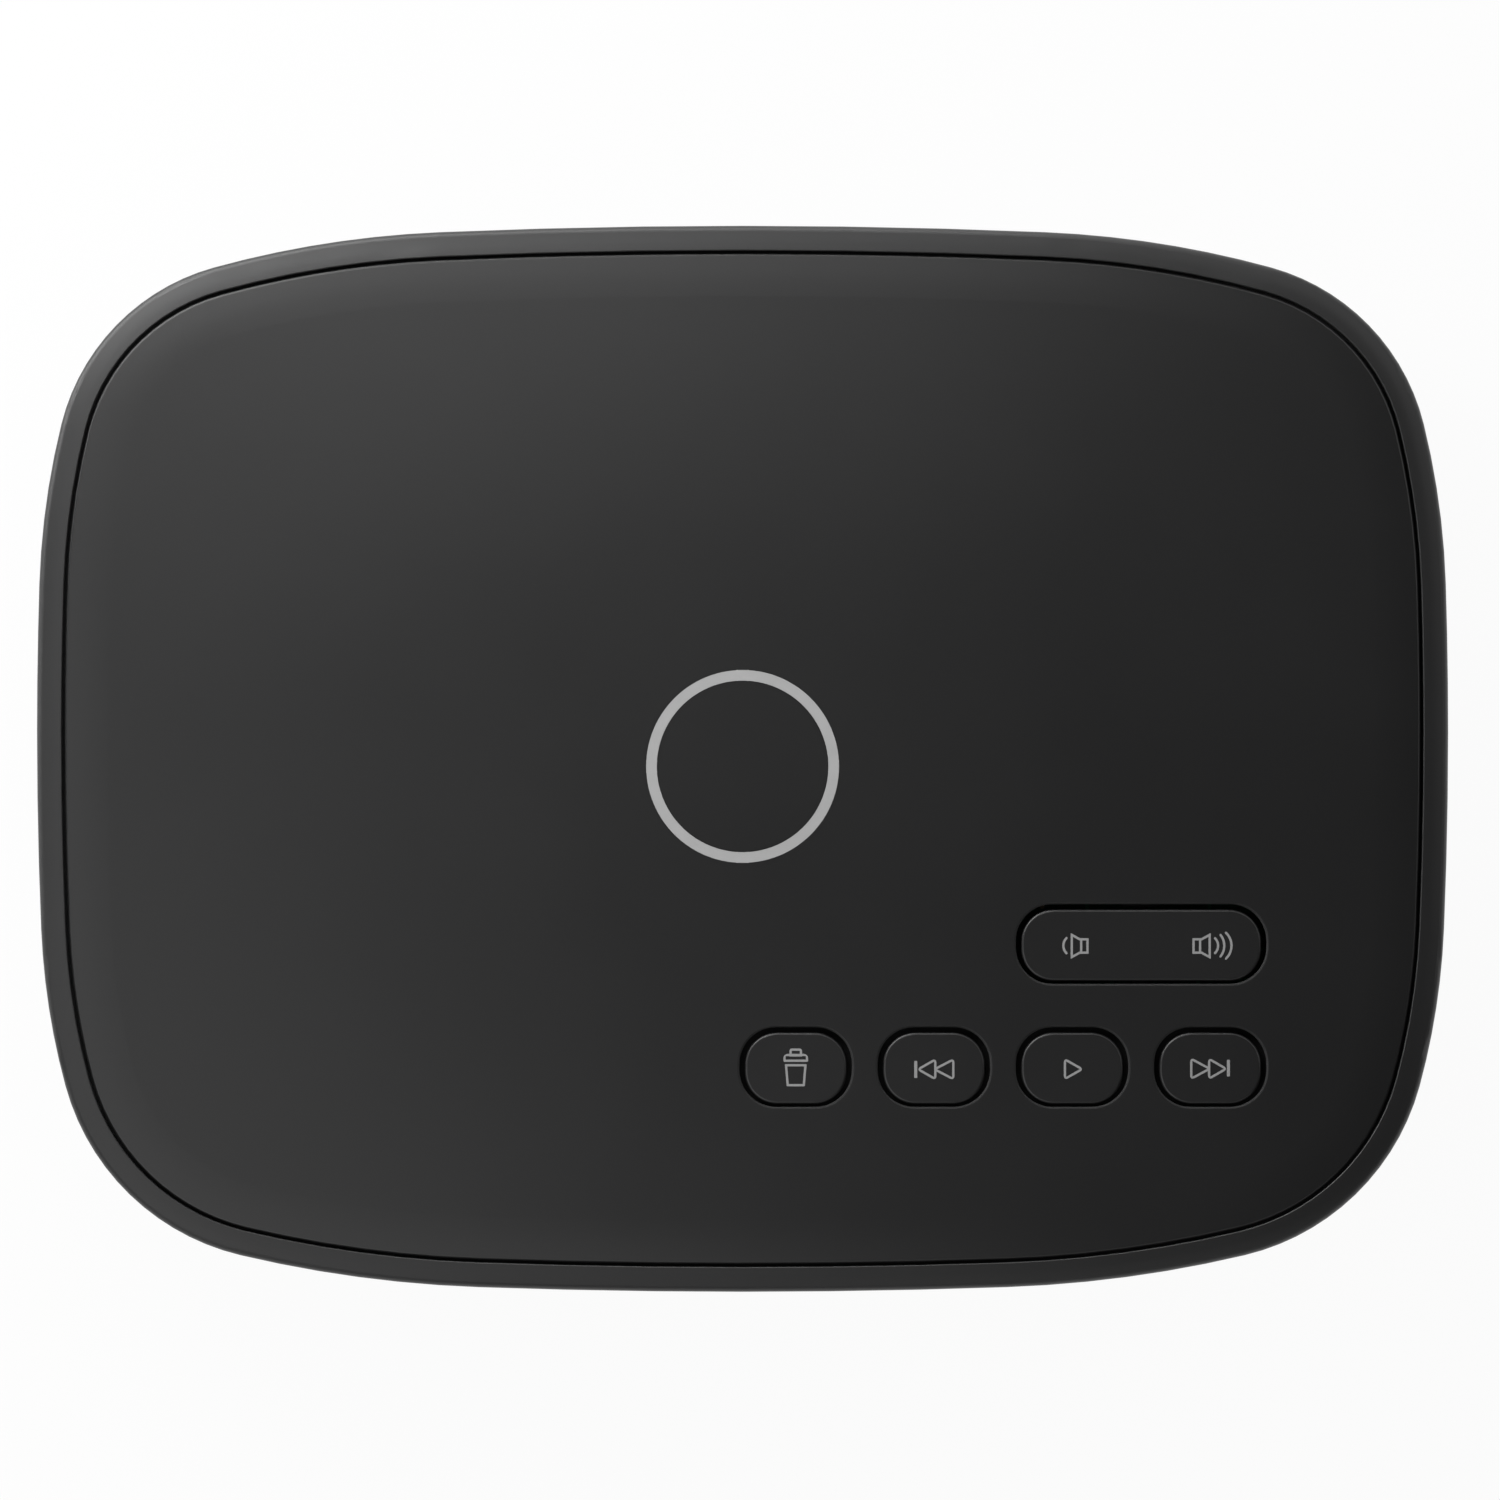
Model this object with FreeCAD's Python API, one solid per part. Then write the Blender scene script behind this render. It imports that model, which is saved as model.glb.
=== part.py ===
# Base of a home internet telephone, with an answering machine's keys on its top cover.
# Millimetres. X runs to the right and Y to the back as the keys are read, and Z up from the table.
# The origin is the middle of the body's footprint, on the table that the rubber feet stand on.
import FreeCAD, Part
import math
import os

V = FreeCAD.Vector

# Outline of the body, seen from above: five tangent arcs in each quarter.
# The crown and side arcs are solved, so that each quarter reaches its width and depth.
body_width = 186.0
body_depth = 140.5
back_to_widest = 66.7
back_crown_turn = 2.4
back_shoulder_turn = 13.0
back_shoulder_r = 133.0
back_corner_r = 28.5
back_flank_r = 101.0
back_flank_turn = 12.1
back_side_turn = 1.8
front_crown_turn = 2.0
front_shoulder_turn = 11.3
front_shoulder_r = 160.5
front_corner_r = 31.4
front_flank_r = 94.0
front_flank_turn = 12.8
front_side_turn = 2.4

# Side of the body, seen as a section
total_height = 38.0
foot_stand = 1.5
wall = 2.2
rim_width = 3.3
rim_edge_r = 0.15
rim_slope = 4.0
rim_corner_r = 1.2
rim_corner_turn = 68.0
side_r = 116.0
base_round_r = 4.5
parting_height = 20.0
parting_gap = 0.25
lip_depth = 2.5
lip_thickness = 1.0
fit_gap = 0.15

# Top cover and the ledge under it
cover_thickness = 2.4
cover_stand = 0.2
cover_edge_r = 0.4
cover_shoulder_r = 60.0
cover_shoulder_turn = 5.0
seam_gap = 0.4
ledge_width = 8.0
ledge_thickness = 1.8
hook_width = 9.0
hook_thickness = 1.4
hook_catch = 0.8
hook_catch_height = 1.4
hook_x = 38.0

# Keys: four alike in a row, and the volume rocker behind the last two
# Every cap sits a little ahead of the middle of its hole, so the gap behind it is the wider one.
key_pitch = 18.2
key_from_side = 31.4
key_from_front = 29.5
key_forward = 0.15
key_hole_length = 14.8
key_hole_width = 10.5
key_hole_corner_r = 4.8
key_gap = 0.55
key_end_gap = 0.7
key_edge_r = 0.35
key_hole_edge_r = 0.3
key_sink = 0.15
key_travel = 0.6
key_roof = 1.3
key_wall = 1.1
key_flange = 0.8
key_flange_thickness = 1.2
key_flange_gap = 0.2
key_stem_r = 2.2
guide_gap = 0.35
guide_wall = 0.9
guide_depth = 3.0
rocker_from_row = 16.2
rocker_hole_length = 33.0
rocker_skirt = 5.6
rocker_pin_r = 1.0
rocker_pin_drop = 4.3
rocker_pin_clearance = 0.06
rocker_pad_reach = 11.0
rocker_pad_r = 1.8
rocker_pad_gap = 0.15
ear_gap = 0.35
ear_thickness = 1.5
ear_length = 5.0

# Status ring in the middle of the cover
ring_y = -1.0
ring_r = 12.0
ring_stroke = 1.4
ring_depth = 1.4
ring_gap = 0.05
light_pipe_r = 1.0
light_pipe_gap = 0.1
light_pipe_above_lamp = 0.3
lamp_size = 2.0
lamp_height = 1.0

# Key board, which hangs from the cover
key_board_drop = 9.0
board_thickness = 1.6
switch_size = 6.0
switch_height = 3.5
switch_corner = 0.8
plunger_r = 1.75
plunger_proud = 1.3
plunger_depth = 1.2
plunger_floor_gap = 0.4
plunger_clearance = 0.1
key_board_margin = 10.0
key_board_front = 7.9
key_board_back = 12.4
key_board_left = 4.0
ring_board_reach = 18.0
key_board_corner_r = 2.0
post_r = 2.7
small_screw_r = 1.1
small_head_r = 2.1
small_head_height = 1.4
small_screw_length = 6.0
thread_gap = 0.02
pilot_spare = 0.5
screw_edge_share = 0.35
cross_reach_share = 0.9
cross_width_share = 0.18
cross_depth_share = 0.5

# Case screws, in bosses near the corners
case_screw_r = 1.5
case_head_r = 2.8
case_head_height = 2.1
case_screw_length = 16.0
case_screw_hole_gap = 0.25
case_recess_r = 3.1
case_recess_depth = 9.0
case_boss_r = 4.3
upper_boss_r = 4.0
back_boss_from_side = 21.0
back_boss_from_back = 24.25
front_boss_from_side = 33.0
front_boss_from_front = 16.25
back_lug_r = 9.0
front_lug_r = 5.7

# Feet, vents and wall-mount keyholes in the floor
foot_r = 6.0
foot_pocket = 0.8
foot_edge_r = 0.5
foot_from_side = 25.0
back_foot_from_back = 40.25
front_foot_from_front = 42.25
vent_count = 9
vent_pitch = 4.5
vent_width = 2.0
vent_length = 20.0
vent_from_foot = 3.0
vent_from_front = 34.25
keyhole_spacing = 90.0
keyhole_y = 6.0
keyhole_head_r = 4.0
keyhole_slot_width = 4.2
keyhole_slot_length = 8.0
label_length = 64.0
label_width = 26.0
label_y = 33.0
label_depth = 0.3
label_corner_r = 2.0

# Main board
board_inset = 8.5
board_speaker_gap = 1.0
standoff = 4.3
standoff_r = 3.0
board_hole_gap = 0.15
boss_board_gap = 0.6
board_screw_from_side = 15.0
board_screw_behind_boss = 4.0
board_screw_from_front = 4.5
board_edge_gap = 1.5

# Port bay in the back
panel_width = 110.0
panel_height = 18.6
panel_drop = 1.0
panel_recess = 7.5
panel_wall = 1.6
port_gap = 0.2
socket_sink = 0.3

# Sockets, left to right as seen from above: width, height and depth of each body
power_x = -46.0
power_width = 9.0
power_height = 11.0
power_depth = 14.4
power_setback = 0.5
power_nose_r = 4.2
power_nose_height = 6.2
power_bore_r = 3.2
power_bore_depth = 10.0
power_pin_r = 1.0
power_pin_length = 8.5
power_pin_edge_r = 0.4
usb_x = -28.0
usb_width = 13.2
usb_height = 5.8
usb_depth = 14.0
usb_lift = 0.6
usb_shell = 0.35
usb_tab_length = 3.0
usb_heel_length = 3.0
usb_tongue_width = 11.1
usb_tongue_height = 1.84
usb_tongue_length = 8.8
usb_tongue_drop = 1.1
phone_x = -8.0
phone_width = 13.2
phone_height = 12.5
phone_depth = 18.0
phone_mouth_width = 9.9
phone_notch_width = 6.1
phone_contact_count = 4
phone_contact_pitch = 1.27
network_x = 13.0
internet_x = 34.5
jack_width = 16.0
jack_height = 13.5
jack_depth = 21.3
jack_mouth_width = 11.8
jack_notch_width = 6.4
jack_mouth_height = 6.9
jack_notch_height = 1.7
jack_bottom = 2.0
jack_mouth_depth = 13.5
jack_contact_count = 8
jack_contact_pitch = 1.02
contact_thickness = 0.35
contact_drop = 2.2
contact_run = 7.0
contact_setback = 3.0
link_lamp_width = 2.6
link_lamp_height = 1.6
link_lamp_length = 6.0
link_lamp_margin = 0.5
link_lamp_gap = 0.05
reset_x = 48.0
reset_hole_r = 1.6
reset_height = 4.5
reset_body_width = 6.0
reset_body_height = 7.2
reset_body_depth = 3.6
reset_plunger_r = 1.2
reset_proud = 2.4
reset_depth = 1.4
reset_travel = 0.4
reset_setback = 2.6

# Parts on the main board: centre, length along X, length along Y and height
processor_x = -10.0
processor_y = 14.0
processor_size = 17.0
processor_height = 1.4
sink_size = 30.0
sink_base = 1.8
sink_fin_height = 6.5
sink_fin_count = 8
sink_fin_thickness = 1.1
memory_x = -36.0
memory_from_front = 17.0
memory_length = 12.0
memory_width = 8.6
memory_pitch = 11.0
chip_height = 1.1
chip_corner_r = 0.3
line_chip_x = -9.0
line_chip_size = 7.0
shield_from_antenna = 21.0
shield_y = 10.0
shield_length = 30.0
shield_width = 25.0
shield_height = 2.8
shield_sheet = 0.3
shield_corner_r = 1.0
antenna_from_side = 16.0
antenna_y = 22.0
antenna_length = 20.0
antenna_height = 8.0
antenna_sheet = 0.5
antenna_leg = 3.0
antenna_leg_pitch = 6.0
antenna_roof = 6.0
magnetics_gap = 2.35
magnetics_length = 12.6
magnetics_width = 9.6
magnetics_height = 5.7
relay_x = -26.0
relay_length = 12.0
relay_width = 7.5
relay_height = 9.6
capacitor_x = -52.0
capacitor_gap = 8.25
capacitor_pitch = 10.5
capacitor_count = 3
capacitor_r = 4.0
capacitor_height = 11.5
capacitor_edge_r = 0.5
capacitor_groove_lift = 1.8
capacitor_groove_width = 0.8
capacitor_groove_depth = 0.3
coil_x = -63.0
coil_y = 10.0
coil_size = 7.5
coil_height = 4.2
coil_pitch = 11.0
coil_corner_r = 1.5
coil_edge_r = 0.5
crystal_x = 1.0
crystal_gap = 0.9
crystal_length = 11.2
crystal_width = 4.6
crystal_height = 3.5
crystal_edge_r = 0.4

# Ribbon cable between the boards
ribbon_x = 30.0
ribbon_width = 12.0
ribbon_thickness = 0.3
ribbon_bend_r = 3.0
ribbon_bulge = 6.0
ribbon_slot_gap = 0.05
connector_width = 15.0
connector_depth = 5.0
connector_height = 2.0
key_connector_from_rocker = 5.4
main_connector_from_front = 2.5

# Speaker, face down over holes in the floor
speaker_from_side = 51.0
speaker_from_front = 37.25
speaker_r = 20.0
speaker_flange_width = 3.2
speaker_flange_thickness = 1.2
gasket_thickness = 1.0
gasket_width = 2.6
basket_height = 6.4
basket_upright = 1.6
terminal_width = 6.0
terminal_reach = 18.5
basket_sheet = 0.9
basket_window_count = 4
basket_window_width = 9.0
basket_window_margin = 0.45
top_plate_r = 12.5
top_plate_thickness = 1.5
magnet_r = 11.2
magnet_height = 6.0
back_plate_r = 10.5
back_plate_thickness = 1.5
pole_r = 4.2
coil_gap = 0.5
voice_coil_wall = 0.4
voice_coil_length = 5.0
cone_r = 13.4
cone_wall = 0.5
cone_rise = 4.4
cone_front_gap = 1.2
dust_cap_drop = 0.6
surround_roll_r = 1.2
surround_wall = 0.35
surround_gap = 0.05
cone_travel = 0.4
speaker_wall = 1.3
speaker_wall_gap = 0.3
speaker_post_count = 3
speaker_post_out = 2.5
speaker_head_r = 3.4
grille_hole_r = 1.0
grille_rings = 4
grille_ring_step = 3.6
lead_r = 0.55
lead_spacing = 1.6
lead_bend_r = 2.0
lead_rise = 3.0
plug_width = 7.0
plug_depth = 4.4
plug_height = 5.0
plug_corner_r = 0.4
plug_from_front = 7.0

# Heights that follow from the sizes above
cover_top = total_height
cover_under = cover_top - cover_thickness
rim_top = cover_top - cover_stand
ledge_under = cover_under - ledge_thickness
base_z = foot_stand
floor_top = base_z + wall
rim_turn = 90.0 - rim_slope
rim_turn_cos = math.cos(math.radians(rim_turn))
rim_turn_sin = math.sin(math.radians(rim_turn))
rim_corner_cos = math.cos(math.radians(rim_corner_turn))
rim_corner_sin = math.sin(math.radians(rim_corner_turn))
rim_crown_width = rim_width - rim_edge_r * (1 + rim_turn_cos) - rim_corner_r * (1 - rim_corner_cos)
rim_crown_r = rim_crown_width / (rim_corner_cos - rim_turn_cos)
rim_crown_x = rim_corner_r + (rim_crown_r - rim_corner_r) * rim_corner_cos
rim_edge_z = rim_top - rim_edge_r
rim_crown_z = rim_edge_z - (rim_crown_r - rim_edge_r) * rim_turn_sin
widest_z = rim_crown_z + (rim_crown_r - rim_corner_r) * rim_corner_sin
side_turn = math.degrees(math.asin((widest_z - base_z - base_round_r) / (side_r - base_round_r)))
base_inset = side_r - (side_r - base_round_r) * math.cos(math.radians(side_turn))
base_round_z = base_z + base_round_r
main_board_under = floor_top + standoff
main_board_top = main_board_under + board_thickness
key_board_top = cover_under - key_board_drop
key_board_under = key_board_top - board_thickness
key_top = cover_top - key_sink
light_pipe_top = cover_top - 0.5 * ring_depth
switch_top = key_board_top + switch_height
plunger_top = switch_top + plunger_proud
flange_top = cover_under - key_flange_gap

# Places that follow from the sizes above
side_x = body_width / 2
back_y = body_depth / 2
front_y = -body_depth / 2
widest_y = back_y - back_to_widest
cover_inset = rim_width + seam_gap
ledge_inset = rim_width + ledge_width
last_key_x = side_x - key_from_side
key_row_y = front_y + key_from_front
key_xs = [last_key_x - step * key_pitch for step in (3, 2, 1, 0)]
rocker_x = (key_xs[2] + key_xs[3]) / 2
rocker_y = key_row_y + rocker_from_row
rocker_pin_z = key_top - rocker_pin_drop
panel_face_y = back_y - panel_recess
panel_back_y = panel_face_y - panel_wall
panel_bottom = main_board_under - panel_drop
panel_top = panel_bottom + panel_height
socket_front_y = panel_face_y - socket_sink
power_back_y = panel_back_y - power_setback - power_depth
back_boss_x = side_x - back_boss_from_side
back_boss_y = back_y - back_boss_from_back
front_boss_x = side_x - front_boss_from_side
front_boss_y = front_y + front_boss_from_front
case_bosses = [(x * side, y) for x, y in ((back_boss_x, back_boss_y), (front_boss_x, front_boss_y))
               for side in (1, -1)]
foot_x = side_x - foot_from_side
back_foot_y = back_y - back_foot_from_back
front_foot_y = front_y + front_foot_from_front
feet = [(foot_x * side, y) for y in (back_foot_y, front_foot_y) for side in (1, -1)]
last_vent_x = foot_x - foot_r - vent_from_foot - vent_width / 2
vent_y = front_y + vent_from_front
speaker_x = -side_x + speaker_from_side
speaker_y = front_y + speaker_from_front
main_board_front = speaker_y + speaker_r + board_speaker_gap
main_board_back = panel_back_y - board_edge_gap
jack_side = -power_x + power_width / 2
boss_hole_side = back_boss_x - case_boss_r - boss_board_gap
board_screw_side_x = side_x - board_screw_from_side
board_screw_back_x = (jack_side + boss_hole_side) / 2
board_screw_back_y = back_boss_y + board_screw_behind_boss
board_screws = [(board_screw_side_x, widest_y), (-board_screw_side_x, widest_y),
                (board_screw_back_x, board_screw_back_y), (-board_screw_back_x, board_screw_back_y),
                (0.0, main_board_front + board_screw_from_front)]
antenna_x = side_x - antenna_from_side
shield_x = antenna_x - shield_from_antenna
sink_back_y = processor_y + sink_size / 2
rear_row_y = (sink_back_y + socket_front_y - phone_depth) / 2
magnetics_y = socket_front_y - jack_depth - magnetics_gap - magnetics_width / 2
capacitor_y = power_back_y - capacitor_gap - capacitor_r
memory_y = main_board_front + memory_from_front
crystal_y = sink_back_y + crystal_gap + crystal_length / 2
key_connector_y = rocker_y + key_connector_from_rocker
main_connector_y = main_board_front + main_connector_from_front
plug_y = main_board_front + plug_from_front
key_board_right = last_key_x + key_board_margin
key_board_front_y = key_row_y - key_board_front
key_board_back_y = rocker_y + key_board_back
key_board_left_x = key_xs[0] - key_hole_length / 2 - key_board_left
ring_board_back_y = ring_y + ring_board_reach
key_board_screws = [(-ring_r - post_r, ring_y + ring_r + post_r),
                    (ring_r + post_r, ring_y + ring_r + post_r),
                    (key_xs[0] - post_r, rocker_y),
                    (rocker_x - rocker_hole_length / 2 - 3 * post_r, rocker_y),
                    (key_board_right - 2 * post_r, key_board_back_y - 1.2 * post_r)]


# Plain solids
def block(x0, x1, y0, y1, z0, z1):
    return Part.makeBox(x1 - x0, y1 - y0, z1 - z0, V(x0, y0, z0))


def centred(x, y, length, width, z0, z1):
    return block(x - length / 2, x + length / 2, y - width / 2, y + width / 2, z0, z1)


def rod(r, x, y, z0, z1):
    return Part.makeCylinder(r, z1 - z0, V(x, y, z0), V(0, 0, 1))


def rod_back(r, x, z, y0, y1):
    return Part.makeCylinder(r, y1 - y0, V(x, y0, z), V(0, 1, 0))


def tube(outer, inner, x, y, z0, z1):
    return rod(outer, x, y, z0, z1).cut(rod(inner, x, y, z0, z1))


def pill(x, y, length, width, corner_r, z0, z1):
    """Upright prism with rounded corners."""
    ex, ey = length / 2 - corner_r, width / 2 - corner_r
    corners = [(x + ex, y + ey, 0), (x - ex, y + ey, 90), (x - ex, y - ey, 180), (x + ex, y - ey, 270)]
    bends = []
    for cx, cy, turn in corners:
        bends.append([V(cx + corner_r * math.cos(math.radians(turn + step)),
                        cy + corner_r * math.sin(math.radians(turn + step)), z0) for step in (0, 45, 90)])
    edges = []
    for number, points in enumerate(bends):
        edges.append(Part.Arc(*points).toShape())
        following = bends[(number + 1) % 4][0]
        if (following - points[2]).Length > 1e-6:
            edges.append(Part.makeLine(points[2], following))
    return Part.Face(Part.Wire(edges)).extrude(V(0, 0, z1 - z0))


def join(shapes):
    whole = shapes[0]
    if len(shapes) > 1:
        whole = whole.fuse(shapes[1:])
    return whole.removeSplitter()


def cut(shape, tools):
    return shape.cut(tools).removeSplitter()


def group(shapes):
    return Part.makeCompound(shapes)


def rounded(shape, radius, chosen):
    """Round the edges that the test picks."""
    return shape.makeFillet(radius, [edge for edge in shape.Edges if chosen(edge)])


def level_edge(edge, z):
    box = edge.BoundBox
    return abs(box.ZMin - z) < 1e-4 and abs(box.ZMax - z) < 1e-4


# Outline of the body
def quarter(half_width, depth, crown_turn, shoulder_turn, shoulder_r, corner_r, flank_r, flank_turn,
            side_turn_down):
    """Five tangent arcs from the crown to the widest line: centre, radius, and angles from +Y."""
    corner_turn = 90 - crown_turn - shoulder_turn - flank_turn - side_turn_down
    turns = [crown_turn, shoulder_turn, corner_turn, flank_turn, side_turn_down]
    marks = [sum(turns[:count]) for count in range(6)]
    sines = [math.sin(math.radians(mark)) for mark in marks]
    cosines = [math.cos(math.radians(mark)) for mark in marks]
    middle = {1: shoulder_r, 2: corner_r, 3: flank_r}
    across = half_width - sum(r * (sines[n + 1] - sines[n]) for n, r in middle.items())
    down = depth - sum(r * (cosines[n] - cosines[n + 1]) for n, r in middle.items())
    spread = sines[1] * cosines[4] - (1 - sines[4]) * (1 - cosines[1])
    crown_r = (across * cosines[4] - down * (1 - sines[4])) / spread
    side_arc_r = (sines[1] * down - (1 - cosines[1]) * across) / spread
    radii = [crown_r, shoulder_r, corner_r, flank_r, side_arc_r]
    x, y = 0.0, depth - crown_r
    arcs = []
    for number, r in enumerate(radii):
        if number:
            x += (radii[number - 1] - r) * sines[number]
            y += (radii[number - 1] - r) * cosines[number]
        arcs.append((x, y, r, marks[number], marks[number + 1]))
    return arcs


def outline_arcs():
    """The whole outline counterclockwise from the right: centre, radius, first and last angle."""
    back = quarter(body_width / 2, back_to_widest, back_crown_turn, back_shoulder_turn, back_shoulder_r,
                   back_corner_r, back_flank_r, back_flank_turn, back_side_turn)
    front = quarter(body_width / 2, body_depth - back_to_widest, front_crown_turn, front_shoulder_turn,
                    front_shoulder_r, front_corner_r, front_flank_r, front_flank_turn, front_side_turn)
    arcs = [(x, widest_y + y, r, 90 - last, 90 - first) for x, y, r, first, last in reversed(back)]
    arcs += [(-x, widest_y + y, r, 90 + first, 90 + last) for x, y, r, first, last in back]
    arcs += [(-x, widest_y - y, r, 270 - last, 270 - first) for x, y, r, first, last in reversed(front)]
    arcs += [(x, widest_y - y, r, 270 + first, 270 + last) for x, y, r, first, last in front]
    return arcs


arcs_of_outline = outline_arcs()


def outline_point(arc, angle, inset, z):
    x, y, r = arc[:3]
    turn = math.radians(angle)
    return V(x + (r - inset) * math.cos(turn), y + (r - inset) * math.sin(turn), z)


def outline_wire(inset, z):
    edges = []
    for arc in arcs_of_outline:
        angles = (arc[3], (arc[3] + arc[4]) / 2, arc[4])
        edges.append(Part.Arc(*[outline_point(arc, angle, inset, z) for angle in angles]).toShape())
    return Part.Wire(edges)


def slab(inset, z0, z1):
    return Part.Face(outline_wire(inset, z0)).extrude(V(0, 0, z1 - z0))


# Sections of the walls: a stroke is a line or an arc in (inset, height), and a whole section
# runs round the outline. An arc's angle is the tilt of its outward normal above the horizon.
def stroke_point(centre, r, tilt):
    turn = math.radians(tilt)
    return (centre[0] - r * math.cos(turn), centre[1] + r * math.sin(turn))


def bend(centre, r, first, last):
    return [stroke_point(centre, r, tilt) for tilt in (first, (first + last) / 2, last)]


def straight(start, finish):
    return [start, finish]


def run_round(section):
    """The solid whose wall section runs round the outline, with flat faces where it is open."""
    faces = []
    for arc in arcs_of_outline:
        for stroke in section:
            points = [outline_point(arc, arc[3], inset, z) for inset, z in stroke]
            if len(points) == 3:
                edge = Part.Arc(*points).toShape()
            else:
                edge = Part.makeLine(*points)
            faces.append(edge.revolve(V(arc[0], arc[1], 0), V(0, 0, 1), arc[4] - arc[3]))
    start, finish = section[0][0], section[-1][-1]
    if math.dist(start, finish) > 1e-6:
        faces += [Part.Face(outline_wire(*start)), Part.Face(outline_wire(*finish))]
    shell = Part.makeCompound(faces)
    shell.sewShape()
    solid = Part.makeSolid(shell.Shells[0])
    if solid.Volume < 0:
        solid.reverse()
    return solid.removeSplitter()


def side_tilt(z, depth_in=0.0):
    """Tilt of the side arc at a height, on the outer face or a wall's depth in from it."""
    return math.degrees(math.asin((z - widest_z) / (side_r - depth_in)))


def side_inset(z, depth_in=0.0):
    return stroke_point((side_r, widest_z), side_r - depth_in, side_tilt(z, depth_in))[0]


def side_stroke(z0, z1, depth_in=0.0):
    return bend((side_r, widest_z), side_r - depth_in, side_tilt(z0, depth_in), side_tilt(z1, depth_in))


side_end = stroke_point((side_r, widest_z), side_r, -side_turn)[1]
side_end_inside = stroke_point((side_r, widest_z), side_r - wall, -side_turn)[1]
lip_bottom = parting_height - lip_depth
lip_outer = side_inset(parting_height, wall) - lip_thickness
outer_seam_z = parting_height + parting_gap


# Housings
def upper_ring():
    edge_centre = (rim_width - rim_edge_r, rim_edge_z)
    section = [
        side_stroke(outer_seam_z, widest_z),
        bend((rim_corner_r, widest_z), rim_corner_r, 0, rim_corner_turn / 2),
        bend((rim_corner_r, widest_z), rim_corner_r, rim_corner_turn / 2, rim_corner_turn),
        bend((rim_crown_x, rim_crown_z), rim_crown_r, rim_corner_turn, rim_turn),
        bend(edge_centre, rim_edge_r, rim_turn, 180),
        straight((rim_width, rim_edge_z), (rim_width, cover_under)),
        straight((rim_width, cover_under), (ledge_inset, cover_under)),
        straight((ledge_inset, cover_under), (ledge_inset, ledge_under)),
        straight((ledge_inset, ledge_under), (side_inset(ledge_under, wall), ledge_under)),
        side_stroke(ledge_under, lip_bottom, wall),
        straight((side_inset(lip_bottom, wall), lip_bottom), (lip_outer, lip_bottom)),
        straight((lip_outer, lip_bottom), (lip_outer, outer_seam_z)),
        straight((lip_outer, outer_seam_z), (side_inset(outer_seam_z), outer_seam_z)),
    ]
    return run_round(section)


def port_window():
    half = panel_width / 2 + fit_gap
    return block(-half, half, panel_back_y - wall, back_y + wall,
                 panel_bottom - fit_gap, panel_top + fit_gap)


def upper_housing():
    lugs = []
    pilots = []
    boss_bottom = parting_height + fit_gap
    for x, y in case_bosses:
        lug_r = back_lug_r if y > 0 else front_lug_r
        lugs.append(rod(lug_r, x, y, ledge_under, cover_under))
        lugs.append(rod(upper_boss_r, x, y, boss_bottom, cover_under))
        pilots.append(rod(case_screw_r + thread_gap, x, y, boss_bottom,
                          base_z + case_recess_depth + case_screw_length + pilot_spare))
    return cut(join([upper_ring()] + lugs), pilots + [port_window()])


def lower_shell():
    step_outer = lip_outer - fit_gap
    step_z = lip_bottom - fit_gap
    base_centre = (base_inset, base_round_z)
    section = [
        bend(base_centre, base_round_r, -90, -side_turn),
        side_stroke(side_end, parting_height),
        straight((side_inset(parting_height), parting_height), (step_outer, parting_height)),
        straight((step_outer, parting_height), (step_outer, step_z)),
        straight((step_outer, step_z), (side_inset(step_z, wall), step_z)),
        side_stroke(step_z, side_end_inside, wall),
        bend(base_centre, base_round_r - wall, -side_turn, -90),
    ]
    return run_round(section)


def around(x, y, r, angle):
    """The point at a distance and an angle from a centre."""
    turn = math.radians(angle)
    return (x + r * math.cos(turn), y + r * math.sin(turn))


def speaker_posts():
    return [around(speaker_x, speaker_y, speaker_r + speaker_post_out, 30 + 360 * number / speaker_post_count)
            for number in range(speaker_post_count)]


speaker_seat = floor_top + gasket_thickness
speaker_flange_top = speaker_seat + speaker_flange_thickness


def grille_holes():
    places = [(speaker_x, speaker_y)]
    for ring in range(1, grille_rings + 1):
        places += [around(speaker_x, speaker_y, ring * grille_ring_step, 60 * number / ring)
                   for number in range(6 * ring)]
    return [rod(grille_hole_r, x, y, base_z - 1, floor_top + 1) for x, y in places]


def vent_slots():
    return [pill(last_vent_x - number * vent_pitch, vent_y, vent_width, vent_length, vent_width / 2,
                 base_z - 1, floor_top + 1) for number in range(vent_count)]


def keyholes():
    holes = []
    for side in (1, -1):
        x = side * keyhole_spacing / 2
        holes.append(rod(keyhole_head_r, x, keyhole_y, base_z - 1, floor_top + 1))
        holes.append(pill(x, keyhole_y + keyhole_slot_length / 2, keyhole_slot_width,
                          keyhole_slot_length + keyhole_slot_width, keyhole_slot_width / 2,
                          base_z - 1, floor_top + 1))
    return holes


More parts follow.
